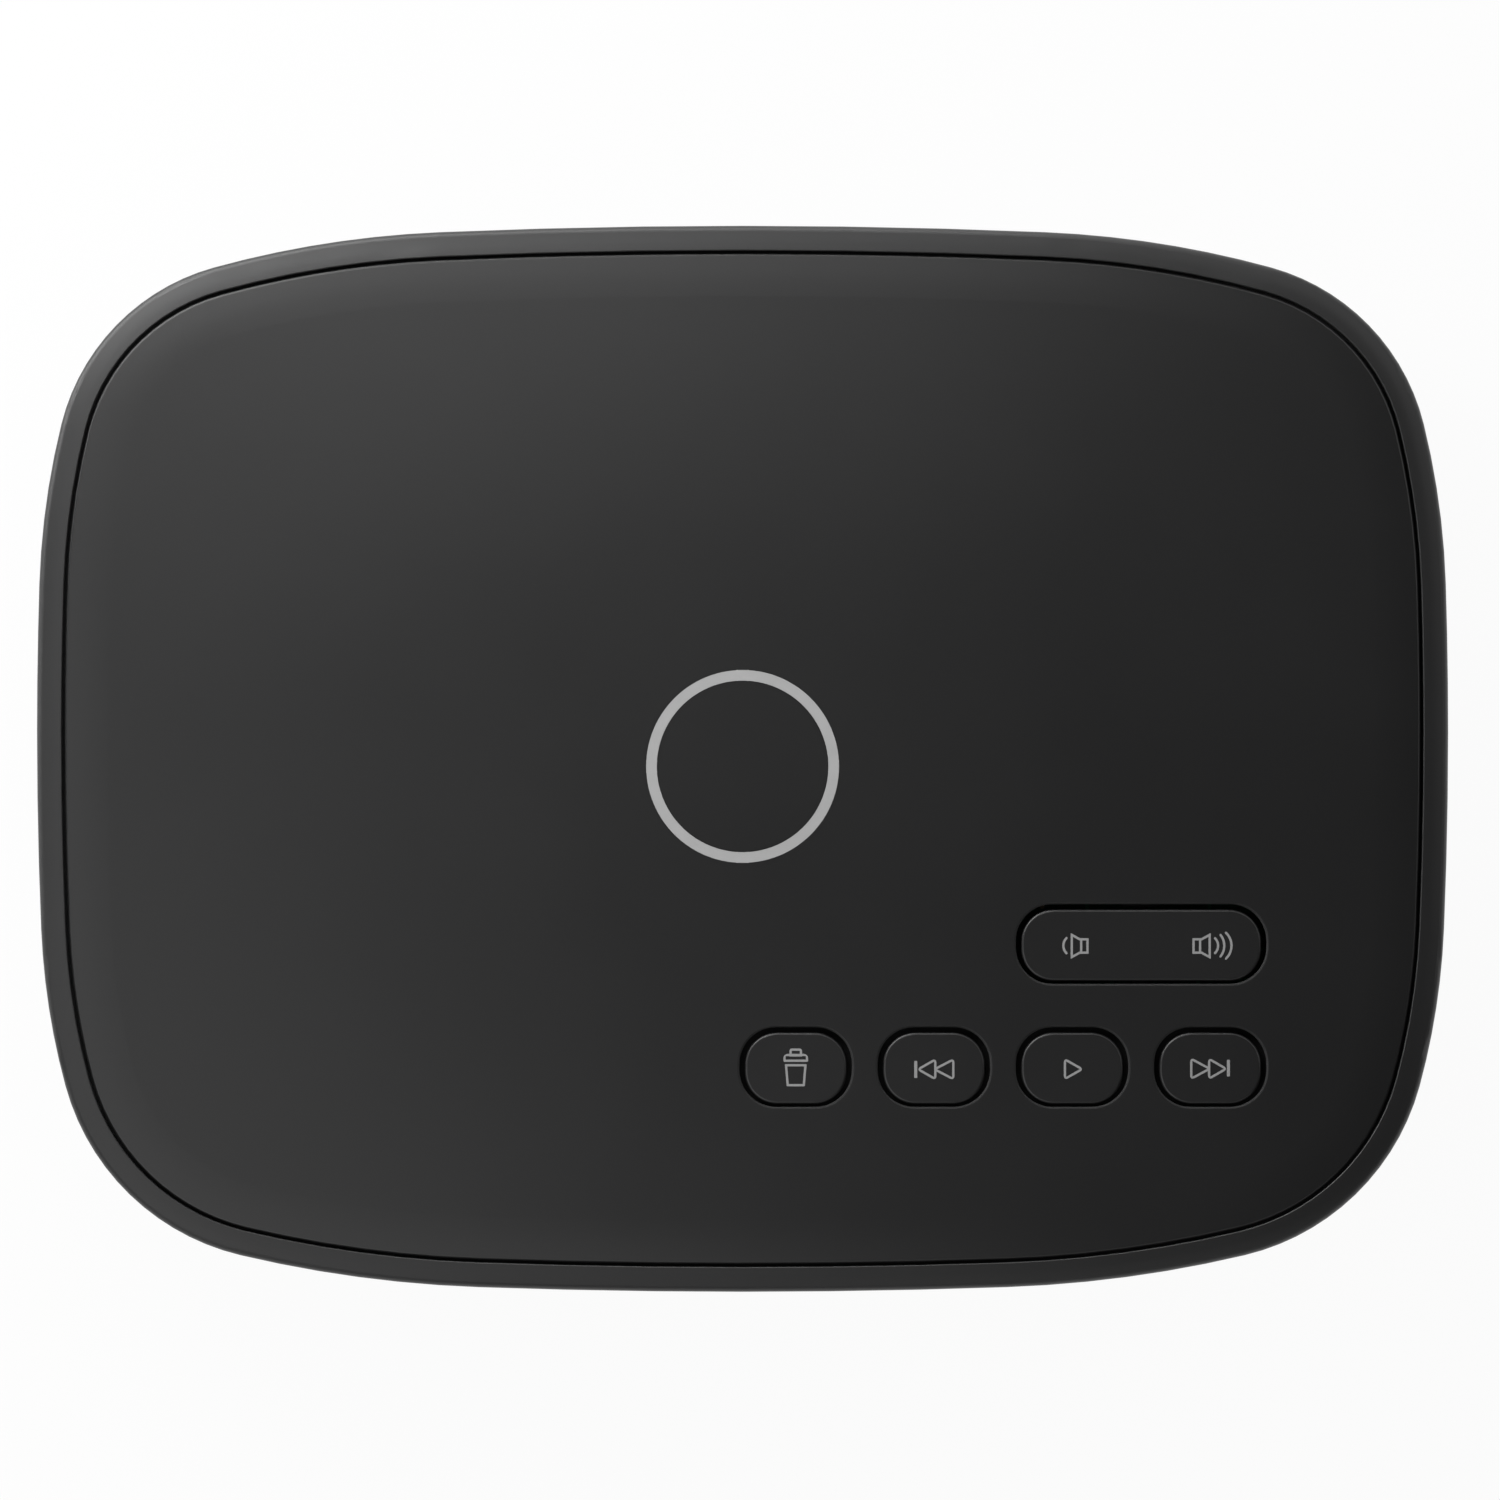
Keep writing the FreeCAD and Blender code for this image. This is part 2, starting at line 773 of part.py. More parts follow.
def lower_housing():
    root_z = base_z + wall / 2
    speaker_ring_r = speaker_r + speaker_wall_gap
    added = [rod(case_boss_r, x, y, root_z, parting_height) for x, y in case_bosses]
    added += [rod(standoff_r, x, y, root_z, main_board_under) for x, y in board_screws]
    added += [rod(standoff_r, x, y, root_z, speaker_flange_top) for x, y in speaker_posts()]
    added.append(rod(speaker_ring_r + speaker_wall, speaker_x, speaker_y, root_z, speaker_flange_top))
    whole = join([lower_shell()] + added)
    tools = [rod(speaker_ring_r, speaker_x, speaker_y, floor_top, speaker_flange_top + 1)]
    for x, y in case_bosses:
        tools.append(rod(case_recess_r, x, y, base_z - 1, base_z + case_recess_depth))
        tools.append(rod(case_screw_r + case_screw_hole_gap, x, y, base_z, parting_height + 1))
    screw_bottom = main_board_top - small_screw_length
    tools += [rod(small_screw_r + thread_gap, x, y, screw_bottom - pilot_spare, main_board_under + 1)
              for x, y in board_screws]
    tools += [rod(small_screw_r + thread_gap, x, y, floor_top - pilot_spare, speaker_flange_top + 1)
              for x, y in speaker_posts()]
    tools += [rod(foot_r + fit_gap, x, y, base_z - 1, base_z + foot_pocket) for x, y in feet]
    tools.append(pill(0, label_y, label_length, label_width, label_corner_r,
                      base_z - 1, base_z + label_depth))
    tools += grille_holes() + vent_slots() + keyholes() + [port_window()]
    return cut(whole, tools)


def body_without_rim():
    """The body's outer form up to its widest height, to trim what is flush with the side."""
    base_centre = (base_inset, base_round_z)
    return run_round([bend(base_centre, base_round_r, -90, -side_turn), side_stroke(side_end, widest_z)])


def port_panel():
    half = panel_width / 2
    tray = block(-half, half, panel_back_y, back_y + 1, panel_bottom, panel_top)
    tray = tray.common(body_without_rim())
    bay = block(-half + panel_wall, half - panel_wall, panel_face_y, back_y + 2,
                panel_bottom + panel_wall, panel_top - panel_wall)
    through = (panel_back_y - 1, panel_face_y + 1)
    cuts = [bay]
    for x, width, height, lift in ((usb_x, usb_width, usb_height, usb_lift),
                                   (phone_x, phone_width, phone_height, 0),
                                   (network_x, jack_width, jack_height, 0),
                                   (internet_x, jack_width, jack_height, 0)):
        z = main_board_top + lift
        cuts.append(block(x - width / 2 - port_gap, x + width / 2 + port_gap, *through,
                          z - port_gap, z + height + port_gap))
    cuts.append(rod_back(power_nose_r + port_gap, power_x, main_board_top + power_nose_height, *through))
    cuts.append(rod_back(reset_hole_r, reset_x, main_board_top + reset_height, *through))
    return cut(tray, cuts)


def rubber_feet():
    shapes = []
    for x, y in feet:
        foot = rod(foot_r, x, y, 0, base_z + foot_pocket)
        shapes.append(rounded(foot, foot_edge_r, lambda edge: level_edge(edge, 0)))
    return group(shapes)


def screw(x, y, head_z, head_r, head_height, shank_r, length, down):
    """A screw whose head lies against head_z, and whose shank runs down or up from it."""
    way = -1 if down else 1
    head = Part.makeCylinder(head_r, head_height, V(x, y, head_z), V(0, 0, -way))
    shank = Part.makeCylinder(shank_r, length, V(x, y, head_z), V(0, 0, way))
    outer_z = head_z - way * head_height
    head = rounded(head, screw_edge_share * head_height, lambda edge: level_edge(edge, outer_z))
    reach = cross_reach_share * head_r
    narrow = cross_width_share * head_r
    depth = cross_depth_share * head_height
    low, high = sorted((outer_z - way * depth, outer_z + way * depth))
    cross = [centred(x, y, reach, narrow, low, high), centred(x, y, narrow, reach, low, high)]
    return cut(join([head, shank]), cross)


def case_screws():
    seat = base_z + case_recess_depth
    return group([screw(x, y, seat, case_head_r, case_head_height, case_screw_r, case_screw_length, False)
                  for x, y in case_bosses])


# Cover and status ring
def plain_cover():
    under_arc_tilt = 90 - cover_shoulder_turn
    reach = cover_shoulder_r - cover_edge_r
    edge_u = cover_inset + cover_edge_r
    edge_z = cover_top - cover_shoulder_r + reach * math.sin(math.radians(under_arc_tilt))
    shoulder_centre = (edge_u + reach * math.cos(math.radians(under_arc_tilt)), cover_top - cover_shoulder_r)
    section = [
        straight((cover_inset, cover_under), (cover_inset, edge_z)),
        bend((edge_u, edge_z), cover_edge_r, 0, under_arc_tilt),
        bend(shoulder_centre, cover_shoulder_r, under_arc_tilt, 90),
    ]
    return run_round(section)


def key_guides():
    flange_length = key_hole_length + 2 * key_flange
    flange_width = key_hole_width + 2 * key_flange
    outer, inner = [], []
    z0 = cover_under - guide_depth
    for x in key_xs:
        grow = 2 * guide_gap
        inner.append(pill(x, key_row_y, flange_length + grow, flange_width + grow,
                          key_hole_corner_r + key_flange + guide_gap, z0 - 1, cover_under))
        grow += 2 * guide_wall
        outer.append(pill(x, key_row_y, flange_length + grow, flange_width + grow,
                          key_hole_corner_r + key_flange + guide_gap + guide_wall, z0, cover_under))
    return cut(join(outer), inner)


def rocker_ears():
    ears = []
    near = key_hole_width / 2 - key_gap + ear_gap
    for side in (1, -1):
        y0, y1 = sorted((rocker_y + side * near, rocker_y + side * (near + ear_thickness)))
        ears.append(block(rocker_x - ear_length / 2, rocker_x + ear_length / 2, y0, y1,
                          rocker_pin_z - 2 * rocker_pin_r, cover_under))
    pin_hole = rod_back(rocker_pin_r + rocker_pin_clearance, rocker_x, rocker_pin_z,
                        rocker_y - key_hole_width, rocker_y + key_hole_width)
    return [ear.cut(pin_hole) for ear in ears]


def light_pipes():
    return [around(0, ring_y, ring_r, angle) for angle in (0, 90, 180, 270)]


def key_holes(z0, z1):
    holes = [pill(x, key_row_y + key_forward, key_hole_length, key_hole_width, key_hole_corner_r, z0, z1)
             for x in key_xs]
    holes.append(pill(rocker_x, rocker_y + key_forward, rocker_hole_length, key_hole_width,
                      key_hole_corner_r, z0, z1))
    return holes


def cover_hooks():
    """Snap hooks that reach down inside the ledge and catch under it."""
    leaf_inset = ledge_inset + fit_gap
    back_inset = leaf_inset + hook_thickness
    catch_top = ledge_under - fit_gap
    catch_bottom = catch_top - hook_catch_height
    leaf = slab(leaf_inset, catch_bottom, cover_under)
    catch = slab(leaf_inset - hook_catch, catch_bottom, catch_top)
    ring = leaf.fuse(catch).cut(slab(back_inset, catch_bottom - 1, cover_under + 1))
    far = body_width
    places = [block(-far, far, widest_y - hook_width / 2, widest_y + hook_width / 2, 0, far)]
    places += [block(side * hook_x - hook_width / 2, side * hook_x + hook_width / 2, -far, far, 0, far)
               for side in (1, -1)]
    return ring.common(places[0].fuse(places[1:])).Solids


def top_cover():
    posts = [rod(post_r, x, y, key_board_top, cover_under) for x, y in key_board_screws]
    whole = join([plain_cover(), key_guides()] + cover_hooks() + rocker_ears() + posts)
    groove = tube(ring_r + ring_stroke / 2 + ring_gap, ring_r - ring_stroke / 2 - ring_gap, 0, ring_y,
                  cover_top - ring_depth, cover_top + 1)
    tools = [groove] + key_holes(cover_under - 0.5, cover_top + 1)
    tools += [rod(light_pipe_r + light_pipe_gap, x, y, cover_under - 1, light_pipe_top + light_pipe_gap)
              for x, y in light_pipes()]
    pilot_top = key_board_under + small_screw_length + pilot_spare
    tools += [rod(small_screw_r + thread_gap, x, y, key_board_top - 1, pilot_top)
              for x, y in key_board_screws]
    whole = cut(whole, tools)
    left, right = key_xs[0] - key_hole_length, last_key_x + key_hole_length
    front, back = key_row_y - key_hole_width, rocker_y + key_hole_width

    def mouth(edge):
        box = edge.BoundBox
        return (level_edge(edge, cover_top) and box.XMin > left and box.XMax < right
                and box.YMin > front and box.YMax < back)

    return rounded(whole, key_hole_edge_r, mouth)


def light_ring():
    ring = tube(ring_r + ring_stroke / 2, ring_r - ring_stroke / 2, 0, ring_y,
                cover_top - ring_depth, cover_top)
    pipe_bottom = key_board_top + lamp_height + light_pipe_above_lamp
    pipes = [rod(light_pipe_r - ring_gap, x, y, pipe_bottom, light_pipe_top) for x, y in light_pipes()]
    return join([ring] + pipes)


# Keys
def key_cap(x):
    length = key_hole_length - 2 * key_end_gap
    width = key_hole_width - 2 * key_gap
    corner_r = key_hole_corner_r - key_gap
    flange_bottom = flange_top - key_flange_thickness
    cap = pill(x, key_row_y, length, width, corner_r, flange_bottom, key_top)
    cap = rounded(cap, key_edge_r, lambda edge: level_edge(edge, key_top))
    flange = pill(x, key_row_y, key_hole_length + 2 * key_flange, key_hole_width + 2 * key_flange,
                  key_hole_corner_r + key_flange, flange_bottom, flange_top)
    hollow = pill(x, key_row_y, length - 2 * key_wall, width - 2 * key_wall, corner_r - key_wall,
                  flange_bottom - 1, key_top - key_roof)
    stem = rod(key_stem_r, x, key_row_y, plunger_top, key_top - 0.5 * key_roof)
    return join([cut(join([cap, flange]), [hollow]), stem])


def volume_rocker():
    length = rocker_hole_length - 2 * key_end_gap
    width = key_hole_width - 2 * key_gap
    corner_r = key_hole_corner_r - key_gap
    bottom = key_top - rocker_skirt
    cap = pill(rocker_x, rocker_y, length, width, corner_r, bottom, key_top)
    cap = rounded(cap, key_edge_r, lambda edge: level_edge(edge, key_top))
    added = [rod_back(rocker_pin_r, rocker_x, rocker_pin_z,
                      rocker_y - width / 2 - ear_gap - ear_thickness,
                      rocker_y + width / 2 + ear_gap + ear_thickness)]
    web = 2.5 * rocker_pin_r
    hollows = []
    inner_length = length / 2 - key_wall - web / 2
    for side in (1, -1):
        x = rocker_x + side * (web / 2 + inner_length / 2)
        hollows.append(pill(x, rocker_y, inner_length, width - 2 * key_wall, corner_r - key_wall,
                            bottom - 1, key_top - key_roof))
        added.append(rod(rocker_pad_r, rocker_x + side * rocker_pad_reach, rocker_y,
                         plunger_top + rocker_pad_gap, key_top - 0.5 * key_roof))
    return join([cut(cap, hollows)] + added)


switch_places = [(x, key_row_y) for x in key_xs]
switch_places += [(rocker_x - rocker_pad_reach, rocker_y), (rocker_x + rocker_pad_reach, rocker_y)]


def switch_body(x, y):
    body = pill(x, y, switch_size, switch_size, switch_corner, key_board_top, switch_top)
    bore_depth = plunger_depth + key_travel + plunger_floor_gap
    return body.cut(rod(plunger_r + plunger_clearance, x, y, switch_top - bore_depth, switch_top + 1))


def plunger(x, y):
    return rod(plunger_r, x, y, switch_top - plunger_depth, plunger_top)


# Key board and the ribbon cable
def key_board():
    z0, z1 = key_board_under, key_board_top
    keys_part = block(key_board_left_x, key_board_right, key_board_front_y, key_board_back_y, z0, z1)
    ring_part = block(-ring_board_reach, ring_board_reach, key_board_back_y - key_board_back / 2,
                      ring_board_back_y, z0, z1)
    board = join([keys_part, ring_part])
    board = rounded(board, key_board_corner_r,
                    lambda edge: abs(edge.BoundBox.ZLength - board_thickness) < 1e-4)
    return cut(board, [rod(small_screw_r + board_hole_gap, x, y, z0 - 1, z1 + 1)
                       for x, y in key_board_screws])


def key_board_screw_set():
    return group([screw(x, y, key_board_under, small_head_r, small_head_height, small_screw_r,
                        small_screw_length, False) for x, y in key_board_screws])


def status_lamps():
    return group([centred(x, y, lamp_size, lamp_size, key_board_top, key_board_top + lamp_height)
                  for x, y in light_pipes()])


ribbon_upper_z = key_board_under - connector_height / 2
ribbon_lower_z = main_board_top + connector_height / 2
ribbon_upper_y = key_connector_y + connector_depth
ribbon_lower_y = main_connector_y + connector_depth


def ribbon_connectors():
    shapes = []
    for y, z0, z in ((key_connector_y, key_board_under - connector_height, ribbon_upper_z),
                     (main_connector_y, main_board_top, ribbon_lower_z)):
        body = block(ribbon_x - connector_width / 2, ribbon_x + connector_width / 2, y, y + connector_depth,
                     z0, z0 + connector_height)
        half_width = ribbon_width / 2 + ribbon_slot_gap
        half_height = ribbon_thickness / 2 + ribbon_slot_gap
        slot = block(ribbon_x - half_width, ribbon_x + half_width, y + connector_depth / 2,
                     y + connector_depth + 1, z - half_height, z + half_height)
        shapes.append(body.cut(slot))
    return group(shapes)


def ribbon_cable():
    """A flat cable that leaves the upper connector, bends down and turns back into the lower one."""
    x0 = ribbon_x - ribbon_width / 2
    half = ribbon_thickness / 2
    far_y = ribbon_lower_y + ribbon_bulge
    bend_y = far_y - ribbon_bend_r
    upper_bend_z = ribbon_upper_z - ribbon_bend_r
    lower_bend_z = ribbon_lower_z + ribbon_bend_r
    inside, outside = ribbon_bend_r - half, ribbon_bend_r + half
    slant = math.sqrt(0.5)

    def point(y, z):
        return V(x0, y, z)

    def corner(z, r, up):
        side = r * slant
        return [point(bend_y, z + up * r), point(bend_y + side, z + up * side), point(bend_y + r, z)]

    upper_in, upper_out = corner(upper_bend_z, inside, 1), corner(upper_bend_z, outside, 1)
    lower_in, lower_out = corner(lower_bend_z, inside, -1), corner(lower_bend_z, outside, -1)
    start_y = ribbon_upper_y - connector_depth / 2
    end_y = ribbon_lower_y - connector_depth / 2
    top_out, top_in = point(start_y, ribbon_upper_z + half), point(start_y, ribbon_upper_z - half)
    low_out, low_in = point(end_y, ribbon_lower_z - half), point(end_y, ribbon_lower_z + half)
    edges = [
        Part.makeLine(top_out, upper_out[0]), Part.Arc(*upper_out).toShape(),
        Part.makeLine(upper_out[2], lower_out[2]), Part.Arc(*lower_out).toShape(),
        Part.makeLine(lower_out[0], low_out), Part.makeLine(low_out, low_in),
        Part.makeLine(low_in, lower_in[0]), Part.Arc(*lower_in).toShape(),
        Part.makeLine(lower_in[2], upper_in[2]), Part.Arc(*upper_in).toShape(),
        Part.makeLine(upper_in[0], top_in), Part.makeLine(top_in, top_out),
    ]
    return Part.Face(Part.Wire(Part.__sortEdges__(edges))).extrude(V(ribbon_width, 0, 0))


# Main board and what stands on it
def main_board():
    board = slab(board_inset, main_board_under, main_board_top)
    board = board.common(block(-body_width, body_width, main_board_front, main_board_back,
                               main_board_under - 1, main_board_top + 1))
    holes = [rod(small_screw_r + board_hole_gap, x, y, main_board_under - 1, main_board_top + 1)
             for x, y in board_screws]
    holes += [rod(case_boss_r + boss_board_gap, x, y, main_board_under - 1, main_board_top + 1)
              for x, y in case_bosses if y > 0]
    return cut(board, holes)


def main_board_screws():
    return group([screw(x, y, main_board_top, small_head_r, small_head_height, small_screw_r,
                        small_screw_length, True) for x, y in board_screws])


def on_board(x, y, length, width, height, corner_r=chip_corner_r):
    return pill(x, y, length, width, corner_r, main_board_top, main_board_top + height)


def heat_sink():
    z0 = main_board_top + processor_height
    base = centred(processor_x, processor_y, sink_size, sink_size, z0, z0 + sink_base)
    step = (sink_size - sink_fin_thickness) / (sink_fin_count - 1)
    fins = [centred(processor_x - (sink_size - sink_fin_thickness) / 2 + number * step, processor_y,
                    sink_fin_thickness, sink_size, z0, z0 + sink_base + sink_fin_height)
            for number in range(sink_fin_count)]
    return join([base] + fins)


def memory_chips():
    return group([on_board(memory_x, memory_y + number * memory_pitch, memory_length, memory_width,
                           chip_height) for number in range(2)])


def radio_shield():
    can = on_board(shield_x, shield_y, shield_length, shield_width, shield_height, shield_corner_r)
    inside = pill(shield_x, shield_y, shield_length - 2 * shield_sheet, shield_width - 2 * shield_sheet,
                  shield_corner_r - shield_sheet, main_board_top - 1,
                  main_board_top + shield_height - shield_sheet)
    return cut(can, [inside])


def antenna(side):
    x = side * antenna_x
    top = main_board_top + antenna_height
    half = antenna_length / 2
    plate = centred(x, antenna_y, antenna_sheet, antenna_length, top - antenna_height / 2, top)
    legs = [centred(x, antenna_y + place, antenna_sheet, antenna_leg, main_board_top, top)
            for place in (-half + antenna_leg / 2, -half + antenna_leg / 2 + antenna_leg_pitch)]
    x0, x1 = sorted((x - side * antenna_sheet / 2, x - side * antenna_roof))
    roof = block(x0, x1, antenna_y - half, antenna_y + half, top - antenna_sheet, top)
    return join([plate, roof] + legs)


def capacitors():
    shapes = []
    for number in range(capacitor_count):
        x, y = capacitor_x, capacitor_y - number * capacitor_pitch
        top = main_board_top + capacitor_height
        can = rod(capacitor_r, x, y, main_board_top, top)
        can = rounded(can, capacitor_edge_r, lambda edge: level_edge(edge, top))
        groove_z = main_board_top + capacitor_groove_lift
        groove = tube(capacitor_r + 1, capacitor_r - capacitor_groove_depth, x, y, groove_z,
                      groove_z + capacitor_groove_width)
        shapes.append(cut(can, [groove]))
    return group(shapes)


def power_coils():
    shapes = []
    top = main_board_top + coil_height
    for y in (coil_y, coil_y + coil_pitch):
        coil = on_board(coil_x, y, coil_size, coil_size, coil_height, coil_corner_r)
        shapes.append(rounded(coil, coil_edge_r, lambda edge: level_edge(edge, top)))
    return group(shapes)


def crystal():
    can = on_board(crystal_x, crystal_y, crystal_width, crystal_length, crystal_height, crystal_width / 2)
    return rounded(can, crystal_edge_r, lambda edge: level_edge(edge, main_board_top + crystal_height))


# Sockets in the back
def modular_jack(x, width, height, depth, mouth_width, notch_width):
    """A modular socket: a mouth for the plug, with a notch for its latch underneath."""
    z0 = main_board_top
    front = socket_front_y
    body = block(x - width / 2, x + width / 2, front - depth, front, z0, z0 + height)
    mouth_z = z0 + jack_bottom + jack_notch_height
    y0 = front - jack_mouth_depth
    mouth = block(x - mouth_width / 2, x + mouth_width / 2, y0, front + 1, mouth_z,
                  mouth_z + jack_mouth_height)
    notch = block(x - notch_width / 2, x + notch_width / 2, y0, front + 1, z0 + jack_bottom, mouth_z + 0.1)
    tools = [mouth, notch]
    if width == jack_width:
        tools += lamp_boxes(x, link_lamp_gap)
    return cut(body, tools)


def lamp_boxes(x, grow=0.0):
    """Two small link lamps in the upper corners of a network socket's face."""
    boxes = []
    top = main_board_top + jack_height - link_lamp_margin
    for side in (1, -1):
        outer = x + side * (jack_width / 2 - link_lamp_margin)
        x0, x1 = sorted((outer + side * grow, outer - side * (link_lamp_width + grow)))
        boxes.append(block(x0, x1, socket_front_y - link_lamp_length - grow,
                           socket_front_y + (1 if grow else 0), top - link_lamp_height - grow, top + grow))
    return boxes


def contacts(x, count, pitch, thickness=contact_thickness):
    """Spring wires that slope down into the mouth from its roof."""
    mouth_top = main_board_top + jack_bottom + jack_notch_height + jack_mouth_height
    y0 = socket_front_y - contact_setback
    wires = []
    for number in range(count):
        left = x + (number - (count - 1) / 2) * pitch - thickness / 2
        points = [(y0, mouth_top), (y0, mouth_top - thickness), (y0 - contact_run, mouth_top - contact_drop),
                  (y0 - contact_run, mouth_top - contact_drop + thickness),
                  (y0 - 2 * thickness, mouth_top)]
        wire = Part.makePolygon([V(left, y, z) for y, z in points + points[:1]])
        wires.append(Part.Face(wire).extrude(V(thickness, 0, 0)))
    return wires


def socket_contacts():
    wires = contacts(network_x, jack_contact_count, jack_contact_pitch)
    wires += contacts(internet_x, jack_contact_count, jack_contact_pitch)
    wires += contacts(phone_x, phone_contact_count, phone_contact_pitch)
    return group(wires)


def usb_socket():
    z0 = main_board_top + usb_lift
    y1 = socket_front_y
    y0 = y1 - usb_depth
    shell = block(usb_x - usb_width / 2, usb_x + usb_width / 2, y0, y1, z0, z0 + usb_height)
    inside = block(usb_x - usb_width / 2 + usb_shell, usb_x + usb_width / 2 - usb_shell, y0 + usb_shell,
                   y1 + 1, z0 + usb_shell, z0 + usb_height - usb_shell)
    tabs = []
    for side in (1, -1):
        tab_x = usb_x + side * (usb_width - usb_shell) / 2
        tabs.append(centred(tab_x, (y0 + y1) / 2, usb_shell, usb_tab_length, main_board_top,
                            z0 + usb_height / 2))
    return join([shell.cut(inside)] + tabs)


def usb_tongue():
    z0 = main_board_top + usb_lift + usb_shell
    y0 = socket_front_y - usb_depth + usb_shell
    inner = usb_width - 2 * usb_shell - 2 * ring_gap
    heel_end = y0 + usb_heel_length
    heel = block(usb_x - inner / 2, usb_x + inner / 2, y0, heel_end, z0, z0 + usb_height - 2 * usb_shell)
    top = z0 + usb_height - 2 * usb_shell - usb_tongue_drop
    tongue = block(usb_x - usb_tongue_width / 2, usb_x + usb_tongue_width / 2, y0,
                   heel_end + usb_tongue_length, top - usb_tongue_height, top)
    return join([heel, tongue])


def power_jack():
    y1 = power_back_y + power_depth
    z = main_board_top + power_nose_height
    body = block(power_x - power_width / 2, power_x + power_width / 2, power_back_y, y1, main_board_top,
                 main_board_top + power_height)
    nose = rod_back(power_nose_r, power_x, z, y1 - 1, socket_front_y)
    bore = rod_back(power_bore_r, power_x, z, socket_front_y - power_bore_depth, socket_front_y + 1)
    return cut(join([body, nose]), [bore])


def power_pin():
    z = main_board_top + power_nose_height
    y0 = socket_front_y - power_bore_depth
    pin = rod_back(power_pin_r, power_x, z, y0, y0 + power_pin_length)
    tip = y0 + power_pin_length
    return rounded(pin, power_pin_edge_r,
                   lambda edge: edge.BoundBox.YMin > tip - 1e-4 and edge.BoundBox.YLength < 1e-4)


def reset_switch():
    y1 = panel_back_y - reset_setback
    body = block(reset_x - reset_body_width / 2, reset_x + reset_body_width / 2, y1 - reset_body_depth, y1,
                 main_board_top, main_board_top + reset_body_height)
    bore_depth = reset_depth + reset_travel + plunger_floor_gap
    return cut(body, [rod_back(reset_plunger_r + plunger_clearance, reset_x, main_board_top + reset_height,
                               y1 - bore_depth, y1 + 1)])


def reset_plunger():
    y1 = panel_back_y - reset_setback
    return rod_back(reset_plunger_r, reset_x, main_board_top + reset_height, y1 - reset_depth,
                    y1 + reset_proud)


# Speaker, face down
def turned(profile, x, y):
    """A solid turned about an upright axis, from (radius, height) points in the XZ plane."""
    wire = Part.makePolygon([V(x + r, y, z) for r, z in profile + profile[:1]])
    return Part.Face(wire).revolve(V(x, y, 0), V(0, 0, 1), 360)


basket_top = speaker_flange_top + basket_height
magnet_bottom = basket_top + top_plate_thickness
back_plate_bottom = magnet_bottom + magnet_height
cone_front_z = floor_top + gasket_thickness + cone_travel + cone_front_gap
voice_coil_r = pole_r + coil_gap
voice_coil_outer = voice_coil_r + voice_coil_wall


def speaker_gasket():
    return tube(speaker_r, speaker_r - gasket_width, speaker_x, speaker_y, floor_top, speaker_seat)


def speaker_basket():
    """Stamped frame: a flat flange, a sloping wall with windows, and a ring for the magnet."""
    bore_r = speaker_r - speaker_flange_width
    turn_z = speaker_flange_top + basket_upright
    gap_r = voice_coil_outer + coil_gap
    profile = [(speaker_r, speaker_seat), (speaker_r, speaker_flange_top),
               (bore_r + basket_sheet, speaker_flange_top), (bore_r + basket_sheet, turn_z),
               (top_plate_r + basket_sheet, basket_top), (gap_r, basket_top),
               (gap_r, basket_top - basket_sheet), (top_plate_r, basket_top - basket_sheet),
               (bore_r, turn_z), (bore_r, speaker_seat)]
    frame = turned(profile, speaker_x, speaker_y)
    terminal = block(speaker_x - terminal_width / 2, speaker_x + terminal_width / 2, speaker_y + top_plate_r,
                     speaker_y + terminal_reach, basket_top - basket_sheet, basket_top)
    windows = []
    for number in range(basket_window_count):
        window = block(top_plate_r + basket_window_margin, speaker_r, -basket_window_width / 2,
                       basket_window_width / 2, turn_z, basket_top - basket_sheet - basket_window_margin)
        window.rotate(V(0, 0, 0), V(0, 0, 1), 45 + 360 * number / basket_window_count)
        window.translate(V(speaker_x, speaker_y, 0))
        windows.append(window)
    return cut(join([frame, terminal]), windows)


def speaker_magnet():
    """Top plate, ring magnet, and back plate with its pole, which leave a gap for the voice coil."""
    gap_r = voice_coil_outer + coil_gap
    back_plate_top = back_plate_bottom + back_plate_thickness
    plate = tube(top_plate_r, gap_r, speaker_x, speaker_y, basket_top, magnet_bottom)
    ring = tube(magnet_r, gap_r + coil_gap, speaker_x, speaker_y, magnet_bottom, back_plate_bottom)
    back = rod(back_plate_r, speaker_x, speaker_y, back_plate_bottom, back_plate_top)
    pole = rod(pole_r, speaker_x, speaker_y, basket_top, back_plate_top)
    return join([plate, ring, back, pole])


def speaker_cone():
    """Paper cone, dust cap and voice coil, which move as one."""
    neck_z = cone_front_z + cone_rise
    coil_top = basket_top + voice_coil_length / 2
    cap_z = neck_z - dust_cap_drop
    profile = [(cone_r, cone_front_z), (cone_r, cone_front_z + cone_wall),
               (voice_coil_outer, neck_z + cone_wall), (voice_coil_outer, coil_top), (voice_coil_r, coil_top),
               (voice_coil_r, cap_z), (0, cap_z - dust_cap_drop), (0, cap_z - dust_cap_drop - cone_wall),
               (voice_coil_outer, cap_z - cone_wall)]
    return turned(profile, speaker_x, speaker_y)


